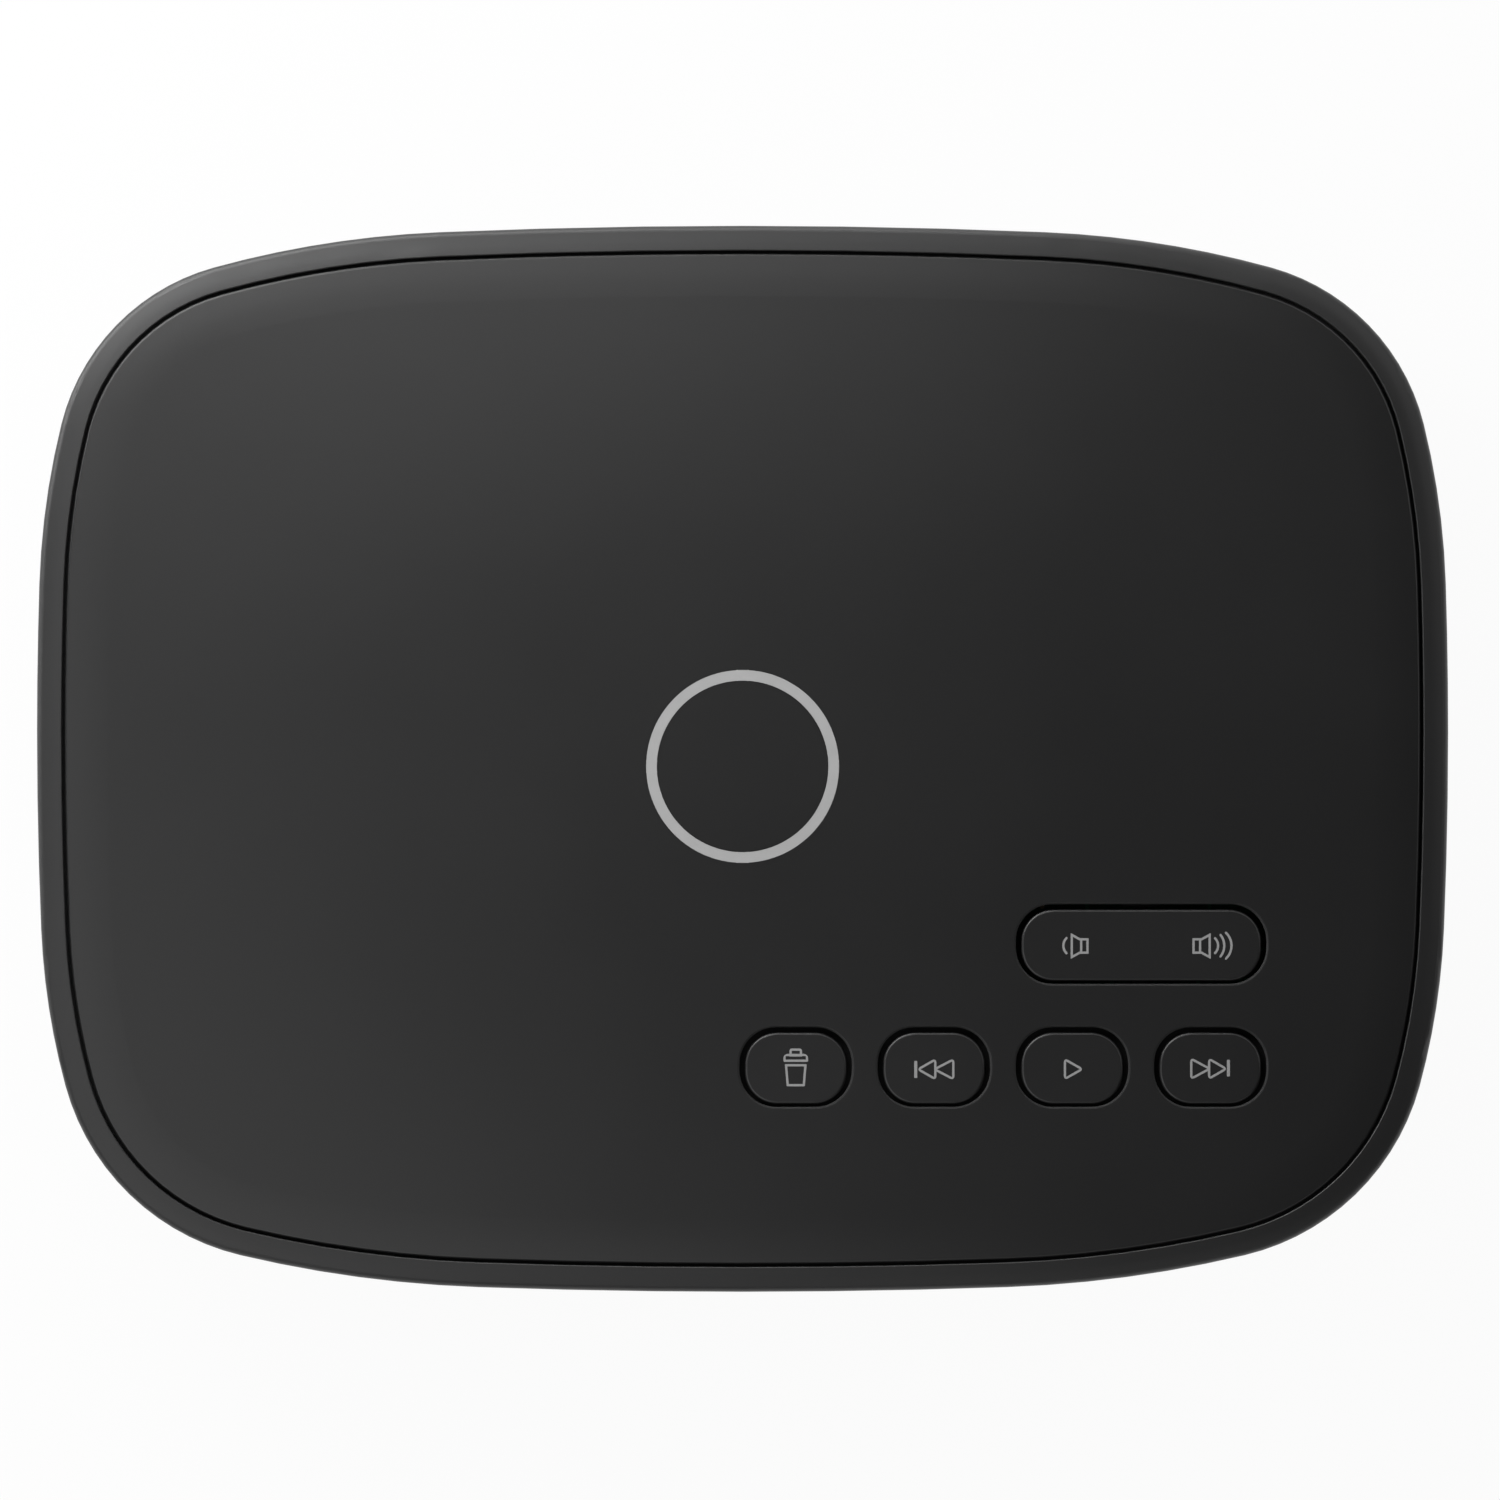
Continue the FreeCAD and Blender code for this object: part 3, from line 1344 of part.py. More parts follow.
def speaker_surround():
    """Half roll that joins the cone to the basket, with a flat land inside the basket's bore."""
    middle = cone_r + surround_roll_r
    inner_r = surround_roll_r - surround_wall
    land_r = speaker_r - speaker_flange_width - surround_gap
    land_angle = math.degrees(math.asin(surround_wall / surround_roll_r))

    def point(r, angle):
        x, z = around(speaker_x + middle, cone_front_z, r, angle)
        return V(x, speaker_y, z)

    land_top = V(speaker_x + land_r, speaker_y, cone_front_z + surround_wall)
    land_bottom = V(speaker_x + land_r, speaker_y, cone_front_z)
    edges = [
        Part.Arc(point(surround_roll_r, 180), point(surround_roll_r, 90),
                 point(surround_roll_r, land_angle)).toShape(),
        Part.makeLine(point(surround_roll_r, land_angle), land_top),
        Part.makeLine(land_top, land_bottom),
        Part.makeLine(land_bottom, point(inner_r, 0)),
        Part.Arc(point(inner_r, 0), point(inner_r, 90), point(inner_r, 180)).toShape(),
        Part.makeLine(point(inner_r, 180), point(surround_roll_r, 180)),
    ]
    return Part.Face(Part.Wire(edges)).revolve(V(speaker_x, speaker_y, 0), V(0, 0, 1), 360)


def speaker_screws():
    return group([screw(x, y, speaker_flange_top, speaker_head_r, small_head_height, small_screw_r,
                        speaker_flange_top - floor_top, True) for x, y in speaker_posts()])


terminal_z = basket_top - basket_sheet / 2
plug_top = main_board_top + plug_height


def bent_path(points, bend_r):
    """Straight runs joined by tangent arcs, as one wire."""
    edges = []
    start = points[0]
    for before, corner, after in zip(points, points[1:], points[2:]):
        way_in = (corner - before).normalize()
        way_out = (after - corner).normalize()
        half_turn = way_in.getAngle(way_out) / 2
        runs = [(corner - before).Length, (after - corner).Length]
        r = min(bend_r, 0.45 * min(runs) / math.tan(half_turn))
        trim = r * math.tan(half_turn)
        first, last = corner - way_in * trim, corner + way_out * trim
        inward = (way_out - way_in).normalize()
        middle = corner + inward * (r / math.cos(half_turn) - r)
        edges += [Part.makeLine(start, first), Part.Arc(first, middle, last).toShape()]
        start = last
    edges.append(Part.makeLine(start, points[-1]))
    return Part.Wire(edges)


def speaker_lead():
    """Two wires from the basket's terminal, up and over to the top of the plug."""
    wires = []
    start_y = speaker_y + terminal_reach
    rise_y = (start_y + plug_y) / 2
    top_z = plug_top + lead_rise
    for side in (1, -1):
        x = speaker_x + side * lead_spacing / 2
        points = [V(x, start_y, terminal_z), V(x, rise_y, terminal_z), V(x, rise_y, top_z),
                  V(x, plug_y, top_z), V(x, plug_y, plug_top)]
        circle = Part.Wire([Part.makeCircle(lead_r, points[0], V(0, 1, 0))])
        wires.append(bent_path(points, lead_bend_r).makePipeShell([circle], True, False))
    return group(wires)


def speaker_plug():
    return on_board(speaker_x, plug_y, plug_width, plug_depth, plug_height, plug_corner_r)


parts = {
    "top_cover": top_cover(),
    "upper_housing": upper_housing(),
    "lower_housing": lower_housing(),
    "port_panel": port_panel(),
    "rubber_feet": rubber_feet(),
    "case_screws": case_screws(),
    "light_ring": light_ring(),
    "status_lamps": status_lamps(),
    "volume_rocker": volume_rocker(),
    "volume_down_plunger": plunger(*switch_places[4]),
    "volume_up_plunger": plunger(*switch_places[5]),
    "switch_bodies": group([switch_body(x, y) for x, y in switch_places]),
    "key_board": key_board(),
    "key_board_screws": key_board_screw_set(),
    "ribbon_connectors": ribbon_connectors(),
    "ribbon_cable": ribbon_cable(),
    "main_board": main_board(),
    "main_board_screws": main_board_screws(),
    "processor": on_board(processor_x, processor_y, processor_size, processor_size, processor_height),
    "heat_sink": heat_sink(),
    "memory_chips": memory_chips(),
    "line_chip": on_board(line_chip_x, rear_row_y, line_chip_size, line_chip_size, chip_height),
    "radio_shield": radio_shield(),
    "antennas": group([antenna(1), antenna(-1)]),
    "network_transformers": group([on_board(x, magnetics_y, magnetics_length, magnetics_width,
                                            magnetics_height) for x in (network_x, internet_x)]),
    "relay": on_board(relay_x, rear_row_y, relay_length, relay_width, relay_height),
    "capacitors": capacitors(),
    "power_coils": power_coils(),
    "crystal": crystal(),
    "internet_jack": modular_jack(internet_x, jack_width, jack_height, jack_depth, jack_mouth_width,
                                  jack_notch_width),
    "network_jack": modular_jack(network_x, jack_width, jack_height, jack_depth, jack_mouth_width,
                                 jack_notch_width),
    "phone_jack": modular_jack(phone_x, phone_width, phone_height, phone_depth, phone_mouth_width,
                               phone_notch_width),
    "socket_contacts": socket_contacts(),
    "link_lamps": group(lamp_boxes(network_x) + lamp_boxes(internet_x)),
    "usb_socket": usb_socket(),
    "usb_tongue": usb_tongue(),
    "power_jack": power_jack(),
    "power_pin": power_pin(),
    "reset_switch": reset_switch(),
    "reset_plunger": reset_plunger(),
    "speaker_gasket": speaker_gasket(),
    "speaker_basket": speaker_basket(),
    "speaker_magnet": speaker_magnet(),
    "speaker_cone": speaker_cone(),
    "speaker_surround": speaker_surround(),
    "speaker_screws": speaker_screws(),
    "speaker_lead": speaker_lead(),
    "speaker_plug": speaker_plug(),
}
for name, x in zip(("delete", "previous", "play", "next"), key_xs):
    parts[name + "_key"] = key_cap(x)
    parts[name + "_plunger"] = plunger(x, key_row_y)

os.makedirs("parts", exist_ok=True)
for node, shape in parts.items():
    shape.exportStep("parts/" + node + ".step")
    state = "valid" if shape.isValid() else "INVALID"
    print(node, len(shape.Solids), "solids", round(shape.Volume, 1), "mm3", state)
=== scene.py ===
"""The looks of a desk telephone base: its finishes, the signs printed on its keys, the blank label
underneath, the studio and the camera."""

import math

import bmesh
import bpy
from mathutils import Matrix, Vector


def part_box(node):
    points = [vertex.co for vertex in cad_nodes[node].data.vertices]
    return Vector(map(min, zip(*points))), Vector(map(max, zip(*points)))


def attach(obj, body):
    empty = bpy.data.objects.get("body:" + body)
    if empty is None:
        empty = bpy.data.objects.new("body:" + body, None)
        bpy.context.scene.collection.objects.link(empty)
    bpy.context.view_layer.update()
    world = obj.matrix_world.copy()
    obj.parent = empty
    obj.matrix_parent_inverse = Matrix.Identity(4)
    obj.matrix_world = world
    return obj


MM = 0.001

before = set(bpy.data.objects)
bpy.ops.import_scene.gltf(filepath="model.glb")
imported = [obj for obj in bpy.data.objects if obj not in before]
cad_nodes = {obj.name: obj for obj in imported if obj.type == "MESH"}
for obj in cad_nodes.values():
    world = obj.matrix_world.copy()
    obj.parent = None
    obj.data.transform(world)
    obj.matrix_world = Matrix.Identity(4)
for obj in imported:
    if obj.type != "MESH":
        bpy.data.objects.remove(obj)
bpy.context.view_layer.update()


# Shader arithmetic

# The colour sockets of a Mix node
MIX_SHARE, MIX_LOW, MIX_HIGH, MIX_RESULT = 0, 6, 7, 2


class Value:
    """A shader socket that takes part in plain arithmetic. first | second is the larger one."""

    def __init__(self, nodes, socket):
        self.nodes = nodes
        self.socket = socket

    def maths(self, operation, *terms):
        return self.nodes.node("Math", {"operation": operation}, dict(enumerate(terms)))

    def __add__(self, other):
        return self.maths("ADD", self, other)

    def __sub__(self, other):
        return self.maths("SUBTRACT", self, other)

    def __rsub__(self, other):
        return self.maths("SUBTRACT", other, self)

    def __mul__(self, other):
        return self.maths("MULTIPLY", self, other)

    def __mod__(self, other):
        return self.maths("FLOORED_MODULO", self, other)

    def __or__(self, other):
        return self.maths("MAXIMUM", self, other)

    def __gt__(self, other):
        return self.maths("GREATER_THAN", self, other)

    def __lt__(self, other):
        return self.maths("LESS_THAN", self, other)

    __radd__ = __add__
    __rmul__ = __mul__


class Nodes:
    """A node tree and the way in which its nodes are added."""

    def __init__(self, tree):
        self.tree = tree

    def wire(self, socket, value):
        """Links a value to a socket, or writes a plain number or colour in it."""
        if isinstance(value, Value):
            self.tree.links.new(value.socket, socket)
        elif socket.type == "RGBA" and len(value) == 3:
            socket.default_value = (*value, 1)
        else:
            socket.default_value = value

    def node(self, kind, settings=None, inputs=None, output=0):
        node = self.tree.nodes.new("ShaderNode" + kind)
        for name, value in (settings or {}).items():
            setattr(node, name, value)
        for name, value in (inputs or {}).items():
            self.wire(node.inputs[name], value)
        return Value(self, node.outputs[output])


def shade(colour, share):
    """A colour made lighter or darker."""
    return tuple(part * share for part in colour)


class Finish(Nodes):
    """A material, and what its surface is made of."""

    def __init__(self, name, **settings):
        self.material = bpy.data.materials.new(name)
        self.material.use_nodes = True
        super().__init__(self.material.node_tree)
        self.shader = self.tree.nodes["Principled BSDF"]
        self.place = self.node("TexCoord", output="Object")
        for socket, value in settings.items():
            self.feed(socket.replace("_", " "), value)

    def feed(self, socket, value):
        self.wire(self.shader.inputs[socket], value)

    def noise(self, size, detail=2.0, roughness=0.5, stretch=(1, 1, 1)):
        """Noise whose spots are about this many millimetres across."""
        place = self.node("Mapping", inputs={"Vector": self.place, "Scale": stretch})
        return self.node("TexNoise", inputs={
            "Vector": place, "Scale": 1 / (size * MM), "Detail": detail, "Roughness": roughness})

    def cells(self, size):
        """How far a place is from the middle of its cell. The cells are this many millimetres
        across, and the distance is a share of that."""
        return self.node("TexVoronoi", inputs={
            "Vector": self.place, "Scale": 1 / (size * MM)}, output="Distance")

    def along(self, axis):
        """The place along X, Y or Z, in millimetres."""
        return self.node("SeparateXYZ", inputs={0: self.place}, output=axis) * (1 / MM)

    def facing(self, axis):
        """How much the surface faces along X, Y or Z: 1 is fully, and -1 is away from it."""
        facing = self.node("TexCoord", output="Normal")
        return self.node("SeparateXYZ", inputs={0: facing}, output=axis)

    def mix(self, share, low, high):
        """A colour between two colours."""
        return self.node("Mix", {"data_type": "RGBA"}, {
            MIX_SHARE: share, MIX_LOW: low, MIX_HIGH: high}, output=MIX_RESULT)

    def tint(self, drift, colour, spread):
        """Makes the surface this colour, darker and lighter by up to this share."""
        darkest, lightest = shade(colour, 1 - spread), shade(colour, 1 + spread)
        self.feed("Base Color", self.mix(drift, darkest, lightest))

    def dull(self, roughness, *drifts):
        """Makes the surface this rough. Each drift is a noise and how far it carries the
        roughness, half of it to each side."""
        self.dullness = roughness - sum(reach for _, reach in drifts) / 2
        for drift, reach in drifts:
            self.dullness = drift * reach + self.dullness
        self.feed("Roughness", self.dullness)

    def coarsen(self, where, roughness, coarse):
        """Takes a surface of this roughness to the coarse one where the given value is 1."""
        self.feed("Roughness", self.dullness + where * (coarse - roughness))

    def relief(self, height, depth):
        """Bumps of this depth in millimetres."""
        self.feed("Normal", self.node("Bump", inputs={
            "Height": height, "Distance": depth * MM}, output="Normal"))


# Finishes. Lengths are in millimetres.

BLACK = (0.0105, 0.0105, 0.0107)
STYRENE_IOR = 1.58
BARE_ROUGHNESS = 0.93
# How far under the cover's highest point the paint ends: at the key holes, and elsewhere
PAINT_EDGE = 0.01
PAINT_DEPTH = 0.6
# Two corners of a rectangle round all the key holes
KEY_FIELD = (-3, -48), (71, -17)
# The seam's wall is above this depth, and the ledge is under it
SEAM_DEPTH = 1.2
# A wall faces up by less than this, and a level surface by more than this
WALL_FACING = 0.3
LEVEL_FACING = 0.97


def moulded(name, colour, roughness, spread=0.08, grain=0.28, depth=0.006, **settings):
    """Moulded plastic: an even spark-eroded grain, and a slow drift of colour and gloss."""
    finish = Finish(name, **settings)
    fine = finish.noise(grain, detail=3, roughness=0.6)
    slow = finish.noise(34)
    finish.tint(slow, colour, spread)
    finish.dull(roughness, (fine, 0.06), (slow, 0.05))
    finish.relief(fine, depth)
    return finish


def under_cover_top(finish):
    """The depth under the cover's highest point."""
    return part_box("top_cover")[1].z / MM - finish.along("Z")


def painted(name, roughness, holes=None):
    """Black soft paint. The plastic is bare and coarse inside the key holes,
    and also on the edges of the holes in the given rectangle."""
    finish = moulded(name, BLACK, roughness, IOR=STYRENE_IOR)
    depth = under_cover_top(finish)
    bare = depth > PAINT_DEPTH
    if holes:
        (left, front), (right, back) = holes
        x, y = finish.along("X"), finish.along("Y")
        bare |= (depth > PAINT_EDGE) * (x > left) * (x < right) * (y > front) * (y < back)
    finish.coarsen(bare, roughness, BARE_ROUGHNESS)
    return finish


def rim_plastic(name, roughness):
    """Black moulded plastic, coarse on the seam's wall and on the ledge under the cover."""
    finish = moulded(name, BLACK, roughness, IOR=STYRENE_IOR)
    depth = under_cover_top(finish)
    upwards = finish.facing("Z")
    wall = (depth < SEAM_DEPTH) * (upwards < WALL_FACING)
    ledge = (depth > SEAM_DEPTH) * (upwards > LEVEL_FACING)
    finish.coarsen(wall | ledge, roughness, BARE_ROUGHNESS)
    return finish


def metal(name, colour, roughness, brush=(1, 1, 1), spread=0.12, depth=0.002):
    """Plated or bare metal with a drawn or tumbled surface."""
    finish = Finish(name, Metallic=1.0)
    fine = finish.noise(0.3, detail=3, roughness=0.6, stretch=brush)
    slow = finish.noise(6, detail=3)
    finish.tint(slow, colour, spread)
    finish.dull(roughness, (fine, 0.14), (slow, 0.08))
    finish.relief(fine, depth)
    return finish


def printed_ink(name, colour):
    """Pad-printed ink, a little uneven in cover."""
    finish = Finish(name, Roughness=0.62)
    cover = finish.noise(0.12, detail=3, roughness=0.6)
    finish.tint(cover, colour, spread=0.14)
    finish.relief(cover, depth=0.003)
    return finish


def milky_lens(name, colour):
    """Frosted light guide: pale, slightly cloudy, with a soft polish."""
    finish = Finish(name, Roughness=0.38, Coat_Weight=0.15, Coat_Roughness=0.3)
    cloud = finish.noise(2.4, detail=3)
    frost = finish.noise(0.1)
    finish.tint(cloud, colour, spread=0.07)
    finish.relief(frost, depth=0.002)
    return finish


def circuit_board(name):
    """Green solder mask over tracks, with plated holes between them."""
    deep_mask, thin_mask = (0.008, 0.07, 0.03), (0.012, 0.095, 0.04)
    covered_copper, plating = (0.03, 0.19, 0.08), (0.55, 0.45, 0.26)
    track_length, hole_pitch, hole_share, plated = 9, 4.2, 0.09, 0.8
    finish = Finish(name, Coat_Weight=0.4, Coat_Roughness=0.2)
    tracks = finish.node("TexBrick", {"offset": 0.37, "squash": 0.7, "squash_frequency": 3}, {
        "Vector": finish.place, "Scale": 1 / (track_length * MM), "Mortar Size": 0.028,
        "Brick Width": 0.9, "Row Height": 0.14}, output="Fac")
    holes = finish.cells(hole_pitch) < hole_share
    weave = finish.noise(0.5)
    mask = finish.mix(weave, deep_mask, thin_mask)
    finish.feed("Base Color", finish.mix(
        holes, finish.mix(tracks, mask, covered_copper), plating))
    finish.feed("Metallic", holes * plated)
    finish.dull(0.35, (weave, 0.1))
    finish.relief(tracks * 0.8 + weave * 0.2, depth=0.03)
    return finish


def foam(name):
    """Black open-cell foam, with painted shade in the pits at the middles of its cells."""
    pit_shade, strand = (0.008, 0.008, 0.008), (0.05, 0.05, 0.05)
    finish = Finish(name, Roughness=0.95, Sheen_Weight=0.15)
    cells = finish.cells(0.45)
    # The pits are coloured darker than the strands round them: painted shade in the cells' hollows.
    finish.feed("Base Color", finish.mix(cells, pit_shade, strand))
    finish.relief(cells, depth=0.12)
    return finish


def rubber(name, colour, roughness):
    """Rubber with a fine bloom on its surface."""
    finish = Finish(name, Sheen_Weight=0.08)
    fine = finish.noise(0.35, detail=4, roughness=0.65)
    bloom = finish.noise(5, detail=3)
    clean, bloomed = shade(colour, 0.8), shade(colour, 1.25)
    finish.feed("Base Color", finish.mix(bloom, clean, bloomed))
    finish.dull(roughness, (bloom, 0.12))
    finish.relief(fine, depth=0.02)
    return finish


def cone_paper(name, node):
    """Pressed paper with felted fibres and shallow rings round the voice coil."""
    low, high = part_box(node)
    middle = (low + high) / 2
    dark_fibre, pale_fibre = (0.014, 0.014, 0.013), (0.05, 0.049, 0.046)
    ring_scale = 120.0  # puts the rings 2.6 mm apart
    finish = Finish(name, Roughness=0.9)
    fibres = finish.noise(0.5, detail=5, roughness=0.7, stretch=(1, 2.5, 1))
    centred = finish.node("VectorMath", {"operation": "SUBTRACT"}, {0: finish.place, 1: middle})
    rings = finish.node("TexWave", {"wave_type": "RINGS", "rings_direction": "Z"}, {
        "Vector": centred, "Scale": ring_scale, "Distortion": 0.4}, output="Fac")
    finish.feed("Base Color", finish.mix(fibres, dark_fibre, pale_fibre))
    finish.relief(fibres * 0.5 + rings * 0.5, depth=0.08)
    return finish


def ribbon(name):
    """Flat white cable with its conductors showing through as grey lines."""
    conductor = (0.42, 0.43, 0.46)
    grey_sleeve, white_sleeve = (0.68, 0.7, 0.72), (0.76, 0.78, 0.8)
    line_scale = 314.0  # puts the conductors 1 mm apart
    finish = Finish(name, Roughness=0.45)
    lines = finish.node("TexWave", {"bands_direction": "X"}, {
        "Vector": finish.place, "Scale": line_scale}, output="Fac")
    sleeve = finish.mix(finish.noise(1.5), grey_sleeve, white_sleeve)
    finish.feed("Base Color", finish.mix(lines, conductor, sleeve))
    finish.relief(lines, depth=0.05)
    return finish


def speaker_lead(name, node):
    """Two insulated wires side by side, one red and one black."""
    low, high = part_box(node)
    deep_red, pale_red, black = (0.4, 0.025, 0.02), (0.52, 0.04, 0.03), (0.018, 0.018, 0.018)
    finish = Finish(name, Roughness=0.42)
    second_wire = finish.along("X") > (low.x + high.x) / 2 / MM
    scuff = finish.noise(0.8, detail=3)
    finish.feed("Base Color", finish.mix(
        second_wire, finish.mix(scuff, deep_red, pale_red), black))
    finish.relief(scuff, depth=0.01)
    return finish


def capacitor_can(name):
    """A shrunk sleeve with a pale stripe down its side, and the bare aluminium top of the can."""
    deep_blue, pale_blue = (0.012, 0.018, 0.045), (0.02, 0.028, 0.065)
    stripe_grey, aluminium = (0.45, 0.46, 0.48), (0.75, 0.75, 0.77)
    top_facing, stripe_facing = 0.96, -0.94
    finish = Finish(name)
    top = finish.facing("Z") > top_facing
    stripe = finish.facing("Y") < stripe_facing
    wrap = finish.noise(1.2, detail=3)
    sleeve = finish.mix(wrap, deep_blue, pale_blue)
    finish.feed("Base Color", finish.mix(
        top, finish.mix(stripe, sleeve, stripe_grey), aluminium))
    finish.feed("Metallic", top)
    finish.dull(0.3, (wrap, 0.1))
    finish.relief(wrap, depth=0.01)
    return finish


def link_lamp(name, sockets):
    """Diffused lamps: on each network socket, green towards -X and amber towards +X."""
    deep_green, pale_green = (0.1, 0.34, 0.08), (0.16, 0.46, 0.12)
    deep_amber, pale_amber = (0.6, 0.3, 0.04), (0.75, 0.42, 0.08)
    finish = Finish(name, Roughness=0.35, Coat_Weight=0.3)
    starts = sorted(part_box(node)[0].x / MM for node in sockets)
    pitch = starts[1] - starts[0]
    width = (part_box(sockets[0])[1].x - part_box(sockets[0])[0].x) / MM
    second_lamp = ((finish.along("X") - starts[0]) % pitch) > width / 2
    cloud = finish.noise(0.6)
    green = finish.mix(cloud, deep_green, pale_green)
    amber = finish.mix(cloud, deep_amber, pale_amber)
    finish.feed("Base Color", finish.mix(second_lamp, green, amber))
    finish.relief(cloud, depth=0.005)
    return finish


def dress(finish, *names):
    """Gives CAD nodes this finish."""
    for name in names:
        for slot in cad_nodes[name].material_slots:
            slot.material = finish.material


# The cover, the housings and the keys
dress(painted("cover_black", roughness=0.34, holes=KEY_FIELD), "top_cover")
dress(rim_plastic("rim_black", roughness=0.44), "upper_housing")
dress(moulded("housing_black", colour=BLACK, roughness=0.44, IOR=STYRENE_IOR), "lower_housing")
dress(painted("key_black", roughness=0.35),
      "delete_key", "previous_key", "play_key", "next_key", "volume_rocker")
dress(moulded("panel_black", colour=(0.011, 0.011, 0.0115), roughness=0.5, grain=0.45, depth=0.012),
      "port_panel")
dress(rubber("foot_rubber", colour=(0.02, 0.02, 0.02), roughness=0.82),
      "rubber_feet", "speaker_surround")
dress(metal("black_oxide_steel", colour=(0.07, 0.07, 0.072), roughness=0.42),
      "case_screws", "speaker_basket")

# Lights
dress(milky_lens("ring_lens", colour=(0.42, 0.42, 0.42)), "light_ring")
dress(moulded("lamp_white", colour=(0.75, 0.75, 0.68), roughness=0.3, grain=0.6), "status_lamps")
dress(link_lamp("lamp_green_amber", ["network_jack", "internet_jack"]), "link_lamps")

# Sockets and switches
dress(moulded("socket_nylon", colour=(0.014, 0.014, 0.015), roughness=0.36, grain=0.5),
      "internet_jack", "network_jack", "phone_jack", "power_jack")
dress(metal("contact_gold", colour=(0.83, 0.6, 0.24), roughness=0.26, brush=(1, 6, 1)),
      "socket_contacts")
dress(moulded("switch_black", colour=(0.02, 0.02, 0.02), roughness=0.5),
      "switch_bodies", "reset_switch")
dress(moulded("plunger_grey", colour=(0.4, 0.4, 0.38), roughness=0.45, grain=0.4),
      "delete_plunger", "previous_plunger", "play_plunger", "next_plunger",
      "volume_down_plunger", "volume_up_plunger", "reset_plunger")

# Boards and what they carry
dress(circuit_board("board_green"), "main_board", "key_board")
dress(moulded("chip_epoxy", colour=(0.016, 0.016, 0.017), roughness=0.6, grain=0.2, depth=0.01),
      "processor", "memory_chips", "line_chip", "network_transformers", "usb_tongue")
dress(metal("extruded_aluminium", colour=(0.62, 0.62, 0.64), roughness=0.42, brush=(4, 0.3, 0.3),
            depth=0.01), "heat_sink")
dress(metal("plated_sheet", colour=(0.62, 0.61, 0.58), roughness=0.3, brush=(1, 5, 1)),
      "usb_socket", "power_pin", "radio_shield", "antennas", "crystal")
dress(metal("zinc_steel", colour=(0.55, 0.56, 0.57), roughness=0.34),
      "key_board_screws", "main_board_screws", "speaker_screws")
dress(moulded("connector_nylon", colour=(0.7, 0.67, 0.58), roughness=0.45, grain=0.6),
      "ribbon_connectors", "speaker_plug")
dress(ribbon("ribbon_white"), "ribbon_cable")
dress(moulded("relay_white", colour=(0.66, 0.66, 0.63), roughness=0.5, grain=0.5), "relay")
dress(capacitor_can("capacitor_sleeve"), "capacitors")
dress(moulded("ferrite", colour=(0.05, 0.05, 0.052), roughness=0.48, spread=0.2, grain=0.35,
              depth=0.015, Metallic=0.4), "speaker_magnet", "power_coils")

# The speaker
dress(foam("gasket_foam"), "speaker_gasket")
dress(cone_paper("cone_paper", "speaker_cone"), "speaker_cone")
dress(speaker_lead("lead_red_black", "speaker_lead"), "speaker_lead")


# New pieces

# Lengths that differ by less are the same
TOUCH = 1e-6
# The facets of a rounding: at an outline's corners, and at the ends of bars and arcs
CORNER_SEGMENTS = 4
END_SEGMENTS = 3
# The facets along a sound arc, and the share of its width that the rounding takes at each side
ARC_STEPS = 10
ARC_END = 0.44
# Upright edges of a sound arc that turn by more, in radians, are the corners of its ends
SHARP_TURN = 1

# The printed lines: their width, their thickness, and how far they reach into the cap
STROKE = 0.3
PRINT = 0.025
SINK = 0.01
# A shape that another one overlaps starts this much lower
UNDERLAP = 0.002


def upright(edge):
    """Whether an edge stands along Z."""
    first, second = (vertex.co for vertex in edge.verts)
    return abs(first.z - second.z) > TOUCH and (first - second).xy.length < TOUCH


def raise_new(bm, extruded, height):
    """Moves what an extrusion made up by this height."""
    bmesh.ops.translate(bm, vec=(0, 0, height), verts=[
        part for part in extruded["geom"] if isinstance(part, bmesh.types.BMVert)])


def round_off(bm, edges, reach, segments):
    """Rounds edges, from this far to each side of them."""
    bmesh.ops.bevel(bm, geom=edges, offset=reach, affect="EDGES", segments=segments,
                    profile=0.5, material=-1)


def outlined(corners, drop=0.0):
    """A closed printed line inside these corners. Each is (x, y, reach), and its rounding
    reaches that far along the sides."""
    bm = bmesh.new()
    points = [bm.verts.new((x, y, -drop)) for x, y, _ in corners]
    line = [bm.edges.new(pair) for pair in zip(points, points[1:] + points[:1])]
    raise_new(bm, bmesh.ops.extrude_edge_only(bm, edges=line), PRINT)
    reaches = {edge: min(corners, key=lambda c: (edge.verts[0].co.xy - Vector(c[:2])).length)[2]
               for edge in bm.edges if upright(edge)}
    bmesh.ops.recalc_face_normals(bm, faces=bm.faces)
    bmesh.ops.solidify(bm, geom=bm.faces[:], thickness=STROKE)
    for reach in sorted(set(reaches.values()) - {0}):
        edges = [edge for edge in reaches if edge.is_valid and reaches[edge] == reach]
        round_off(bm, edges, reach, CORNER_SEGMENTS)
    return bm


def bar(low, high, rounding, height=PRINT):
    """A filled rectangle with rounded corners, from one corner to the other."""
    bm = bmesh.new()
    bmesh.ops.create_cube(bm, size=1)
    size = Vector((*(Vector(high) - Vector(low)), height))
    middle = Vector((*(Vector(high) + Vector(low)), height)) / 2
    bmesh.ops.scale(bm, vec=size, verts=bm.verts)
    bmesh.ops.translate(bm, vec=middle, verts=bm.verts)
    round_off(bm, [edge for edge in bm.edges if upright(edge)], rounding, END_SEGMENTS)
    return bm


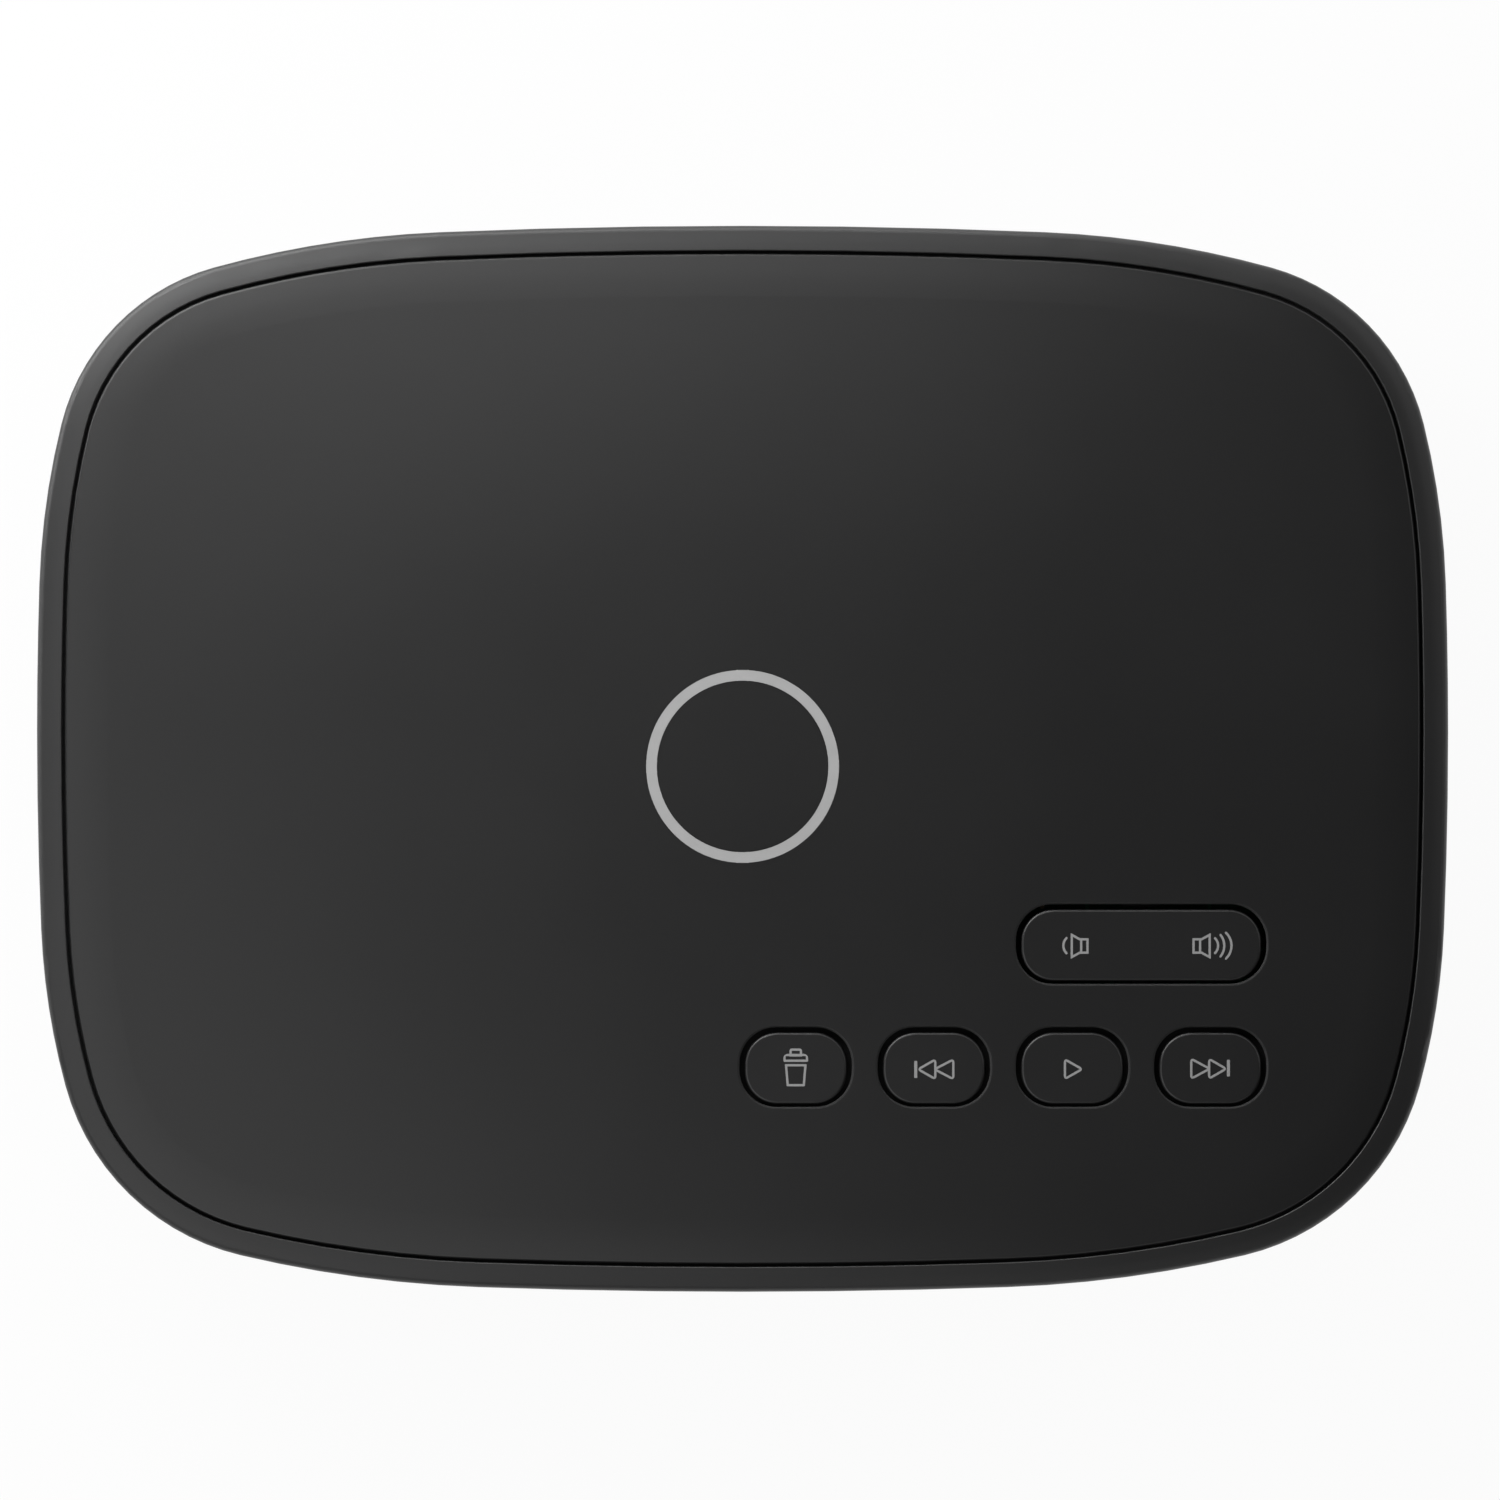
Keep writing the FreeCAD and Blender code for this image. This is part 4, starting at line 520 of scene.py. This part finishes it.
def sound_arc(centre, radius, half_angle, facing):
    """A round-ended printed arc, bulging along +X or -X. The half angle is in degrees."""
    bm = bmesh.new()
    turn = math.radians(half_angle)
    start = Matrix.Rotation(-turn, 3, "Z") @ Vector((radius * facing, 0, 0))
    middle = Vector((*centre, 0))
    across = [bm.verts.new(middle + start + shift) for shift in
              (start.normalized() * -STROKE / 2, start.normalized() * STROKE / 2)]
    edge = bm.edges.new(across)
    bmesh.ops.spin(bm, geom=[edge, *across], cent=middle, axis=(0, 0, 1), angle=2 * turn,
                   steps=ARC_STEPS)
    raise_new(bm, bmesh.ops.extrude_face_region(bm, geom=bm.faces[:]), PRINT)
    bm.normal_update()
    ends = [edge for edge in bm.edges if upright(edge) and len(edge.link_faces) == 2
            and edge.calc_face_angle(0) > SHARP_TURN]
    round_off(bm, ends, STROKE * ARC_END, END_SEGMENTS)
    return bm


def joined(parts):
    """One bmesh of several."""
    bm = bmesh.new()
    for part in parts:
        mesh = bpy.data.meshes.new("part")
        part.to_mesh(mesh)
        part.free()
        bm.from_mesh(mesh)
        bpy.data.meshes.remove(mesh)
    return bm


def piece(name, bm, place, body, finish):
    """A finished piece from a bmesh in millimetres, set down at a place in metres."""
    bmesh.ops.scale(bm, vec=(MM, MM, MM), verts=bm.verts)
    bmesh.ops.translate(bm, vec=place, verts=bm.verts)
    bmesh.ops.recalc_face_normals(bm, faces=bm.faces)
    mesh = bpy.data.meshes.new(name)
    bm.to_mesh(mesh)
    bm.free()
    mesh.materials.append(finish.material)
    made = bpy.data.objects.new(name, mesh)
    bpy.context.scene.collection.objects.link(made)
    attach(made, body)


# The signs on the keys, in millimetres from the middle of each key

# How far each sign sits behind the middle of its cap
SIGN_RISE = 0.2
# Triangles: the radius of a tip, half its angle in degrees, and the lowest and highest place
TIP_R = 0.38
HALF_TIP = 30
SKIP_BACK_LOW, SKIP_BACK_HIGH = -1.6, 0.92
SKIP_ON_LOW, SKIP_ON_HIGH = -1.54, 1.0
STOP_BAR_R = 0.08
# Loudspeakers: the box, the horn's mouth, their roundings, and the height of the arcs' centres
BOX_LOW, BOX_HIGH, BOX_R = -1.33, 0.73, 0.06
MOUTH_LOW, MOUTH_HIGH, MOUTH_R = -2.02, 1.42, 0.12
WEB_R = 0.01
SOUND_Y = -0.26


def trapezoid(low, high, half_foot, half_top, foot_r, top_r, drop=0.0):
    """An outlined shape that is the same on both sides, with rounded corners."""
    return outlined([(-half_foot, low, foot_r), (half_foot, low, foot_r),
                     (half_top, high, top_r), (-half_top, high, top_r)], drop)


def triangle(left, right, low, high, pointing, drop=0.0):
    """An outlined triangle with round tips, which points right (1) or left (-1) and just fills
    this box."""
    half_tip = math.radians(HALF_TIP)
    past_tip = TIP_R * (1 / math.sin(half_tip) - 1)
    past_base = TIP_R * (1 / math.tan(half_tip) - 1)
    cut_back = TIP_R / math.tan(half_tip)
    tip, base = (right + past_tip, left) if pointing > 0 else (left - past_tip, right)
    return outlined([(base, low - past_base, cut_back), (tip, (low + high) / 2, cut_back),
                     (base, high + past_base, cut_back)], drop)


def loudspeaker(back, wall, mouth):
    """A loudspeaker seen from the side: a box, and a horn that opens towards its mouth."""
    web = sorted((wall, wall + math.copysign(STROKE, back - mouth)))
    return [
        outlined([(back, BOX_LOW, BOX_R), (wall, BOX_LOW, 0), (mouth, MOUTH_LOW, MOUTH_R),
                  (mouth, MOUTH_HIGH, MOUTH_R), (wall, BOX_HIGH, 0), (back, BOX_HIGH, BOX_R)]),
        bar((web[0], BOX_LOW + STROKE), (web[1], BOX_HIGH - STROKE), WEB_R)]


delete_handle = trapezoid(1.34, 2.4, half_foot=0.83, half_top=0.83, foot_r=0.05, top_r=0.32,
                          drop=UNDERLAP)
delete_lid = trapezoid(0.64, 1.7, half_foot=1.63, half_top=1.63, foot_r=0.16, top_r=0.6)
delete_bin = trapezoid(-2.58, 0.34, half_foot=1.2, half_top=1.44, foot_r=0.1, top_r=0.1)
previous_parts = [
    bar((-2.6, -1.48), (-2.2, 0.76), STOP_BAR_R),
    triangle(-2.0, 0.33, SKIP_BACK_LOW, SKIP_BACK_HIGH, pointing=-1),
    triangle(0.14, 2.7, SKIP_BACK_LOW, SKIP_BACK_HIGH, pointing=-1, drop=UNDERLAP)]
play_parts = [triangle(-1.1, 1.24, -1.58, 0.94, pointing=1)]
next_parts = [
    triangle(-2.66, -0.14, SKIP_ON_LOW, SKIP_ON_HIGH, pointing=1, drop=UNDERLAP),
    triangle(-0.31, 2.0, SKIP_ON_LOW, SKIP_ON_HIGH, pointing=1),
    bar((2.18, -1.28), (2.58, 0.92), STOP_BAR_R)]
volume_parts = [
    *loudspeaker(back=-6.93, wall=-8.06, mouth=-9.3),
    sound_arc((-8.85, SOUND_Y), radius=1.41, half_angle=51, facing=-1),
    *loudspeaker(back=6.74, wall=7.9, mouth=9.16),
    sound_arc((8.74, SOUND_Y), radius=1.38, half_angle=51, facing=1),
    sound_arc((8.67, SOUND_Y), radius=2.27, half_angle=42, facing=1),
    sound_arc((9.55, SOUND_Y), radius=2.34, half_angle=50, facing=1)]

ink = printed_ink("sign_ink", colour=(0.31, 0.31, 0.31))
for name, key, body, parts in (
        ("delete_sign", "delete_key", "delete_button", [delete_handle, delete_lid, delete_bin]),
        ("previous_sign", "previous_key", "previous_button", previous_parts),
        ("play_sign", "play_key", "play_button", play_parts),
        ("next_sign", "next_key", "next_button", next_parts),
        ("volume_signs", "volume_rocker", "volume_rocker", volume_parts)):
    low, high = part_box(key)
    middle = (low + high) / 2
    place = Vector((middle.x, middle.y + SIGN_RISE * MM, high.z - SINK * MM))
    piece(name, joined(parts), place, body, ink)


# The blank label: a plain film stuck to the roof of the recess in the floor

RECESS_MIDDLE = (0, 33)
RECESS_SIZE = (64, 26)
RECESS_ROOF = 1.8
LABEL_MARGIN = 0.6
LABEL_R = 1.5
LABEL_FILM = 0.12

label = bar([m - s / 2 + LABEL_MARGIN for m, s in zip(RECESS_MIDDLE, RECESS_SIZE)],
            [m + s / 2 - LABEL_MARGIN for m, s in zip(RECESS_MIDDLE, RECESS_SIZE)],
            LABEL_R, LABEL_FILM)
piece("blank_label", label, Vector((0, 0, (RECESS_ROOF - LABEL_FILM) * MM)), "base",
      metal("silver_film", colour=(0.55, 0.56, 0.58), roughness=0.5, spread=0.05, depth=0.001))


# Studio

AIM_HEIGHT = 30 * MM
STRIP = (1.20, 0.30)
SMALL_BOX = (0.16, 0.16)
LARGE_BOX = (0.30, 0.30)
FLOOR_SIZE = 14
FLOOR_GREY = (0.8, 0.8, 0.8)
# How much of the object's shadow shows on the white floor
SHADOW_SHARE = 0.05
# The world: white up to a little above the horizon, and this strong higher up
HORIZON_START, HORIZON_END = 0.08, 0.16
AMBIENT = 0.02


def softbox(name, azimuth, elevation, distance, size, radiance):
    """A soft lamp aimed at the cover. Its direction from there is in degrees, and its distance
    and size are in metres."""
    lamp = bpy.data.lights.new(name, "AREA")
    lamp.shape = "RECTANGLE"
    lamp.size, lamp.size_y = size
    lamp.energy = radiance * math.pi * size[0] * size[1]
    turn, rise = math.radians(azimuth), math.radians(elevation)
    away = Vector((math.cos(rise) * math.cos(turn), math.cos(rise) * math.sin(turn),
                   math.sin(rise)))
    lit = bpy.data.objects.new(name, lamp)
    lit.location = Vector((0, 0, AIM_HEIGHT)) + distance * away
    lit.rotation_euler = away.to_track_quat("Z", "Y").to_euler()
    lit.visible_camera = False
    bpy.context.scene.collection.objects.link(lit)


floor_bm = bmesh.new()
bmesh.ops.create_grid(floor_bm, x_segments=1, y_segments=1, size=FLOOR_SIZE / 2)
floor_mesh = bpy.data.meshes.new("floor")
floor_bm.to_mesh(floor_mesh)
floor_bm.free()
floor = bpy.data.objects.new("floor", floor_mesh)
bpy.context.scene.collection.objects.link(floor)

paper = Finish("floor_paper", Base_Color=FLOOR_GREY, Roughness=1.0, Specular_IOR_Level=0.0)
seen = paper.node("LightPath", output="Is Camera Ray")
for ray in ("Is Glossy Ray", "Is Transmission Ray"):
    seen |= paper.node("LightPath", output=ray)
paper.wire(paper.tree.nodes["Material Output"].inputs["Surface"], paper.node("MixShader", inputs={
    0: seen * (1 - SHADOW_SHARE), 1: Value(paper, paper.shader.outputs[0]),
    2: paper.node("Emission")}))
floor_mesh.materials.append(paper.material)

world = bpy.data.worlds.new("studio")
bpy.context.scene.world = world
world.use_nodes = True
sky = Nodes(world.node_tree)
height = sky.node("SeparateXYZ", inputs={0: sky.node("TexCoord", output="Generated")}, output="Z")
strength = sky.node("MapRange", inputs={
    "Value": height, "From Min": HORIZON_START, "From Max": HORIZON_END,
    "To Min": 1.0, "To Max": AMBIENT})
sky.wire(world.node_tree.nodes["Background"].inputs["Strength"], strength)
sky.wire(world.node_tree.nodes["Background"].inputs["Color"], (1, 1, 1))

softbox("back_strip", azimuth=130, elevation=12, distance=0.70, size=STRIP, radiance=6.9)
softbox("back_box", azimuth=130, elevation=42, distance=0.30, size=SMALL_BOX, radiance=4.1)
softbox("high_box", azimuth=105, elevation=58, distance=0.24, size=SMALL_BOX, radiance=1.2)
softbox("left_box", azimuth=220, elevation=50, distance=0.30, size=LARGE_BOX, radiance=0.92)
softbox("front_strip", azimuth=270, elevation=38, distance=0.70, size=STRIP, radiance=0.6)
softbox("right_strip", azimuth=45, elevation=38, distance=0.70, size=STRIP, radiance=1.15)


# Camera

# The photograph's side in pixels, a pixel's size on the object, and the pixel that the middle
# of the object falls on
PIXELS = 1500
PIXEL = 0.1318 * MM
MIDDLE_PIXEL = (742.6, 758.8)
# The height of the body's widest line, which the pixel's size holds for
WIDEST_HEIGHT = 36.13 * MM
SENSOR = 36
LENS = 400

camera_data = bpy.data.cameras.new("camera")
camera_data.sensor_width = SENSOR
camera_data.lens = LENS
camera = bpy.data.objects.new("camera", camera_data)
reach = PIXELS * PIXEL * LENS / SENSOR
camera.location = ((PIXELS / 2 - MIDDLE_PIXEL[0]) * PIXEL, (MIDDLE_PIXEL[1] - PIXELS / 2) * PIXEL,
                   WIDEST_HEIGHT + reach)
bpy.context.scene.collection.objects.link(camera)
bpy.context.scene.camera = camera
bpy.context.scene.view_settings.view_transform = "Standard"
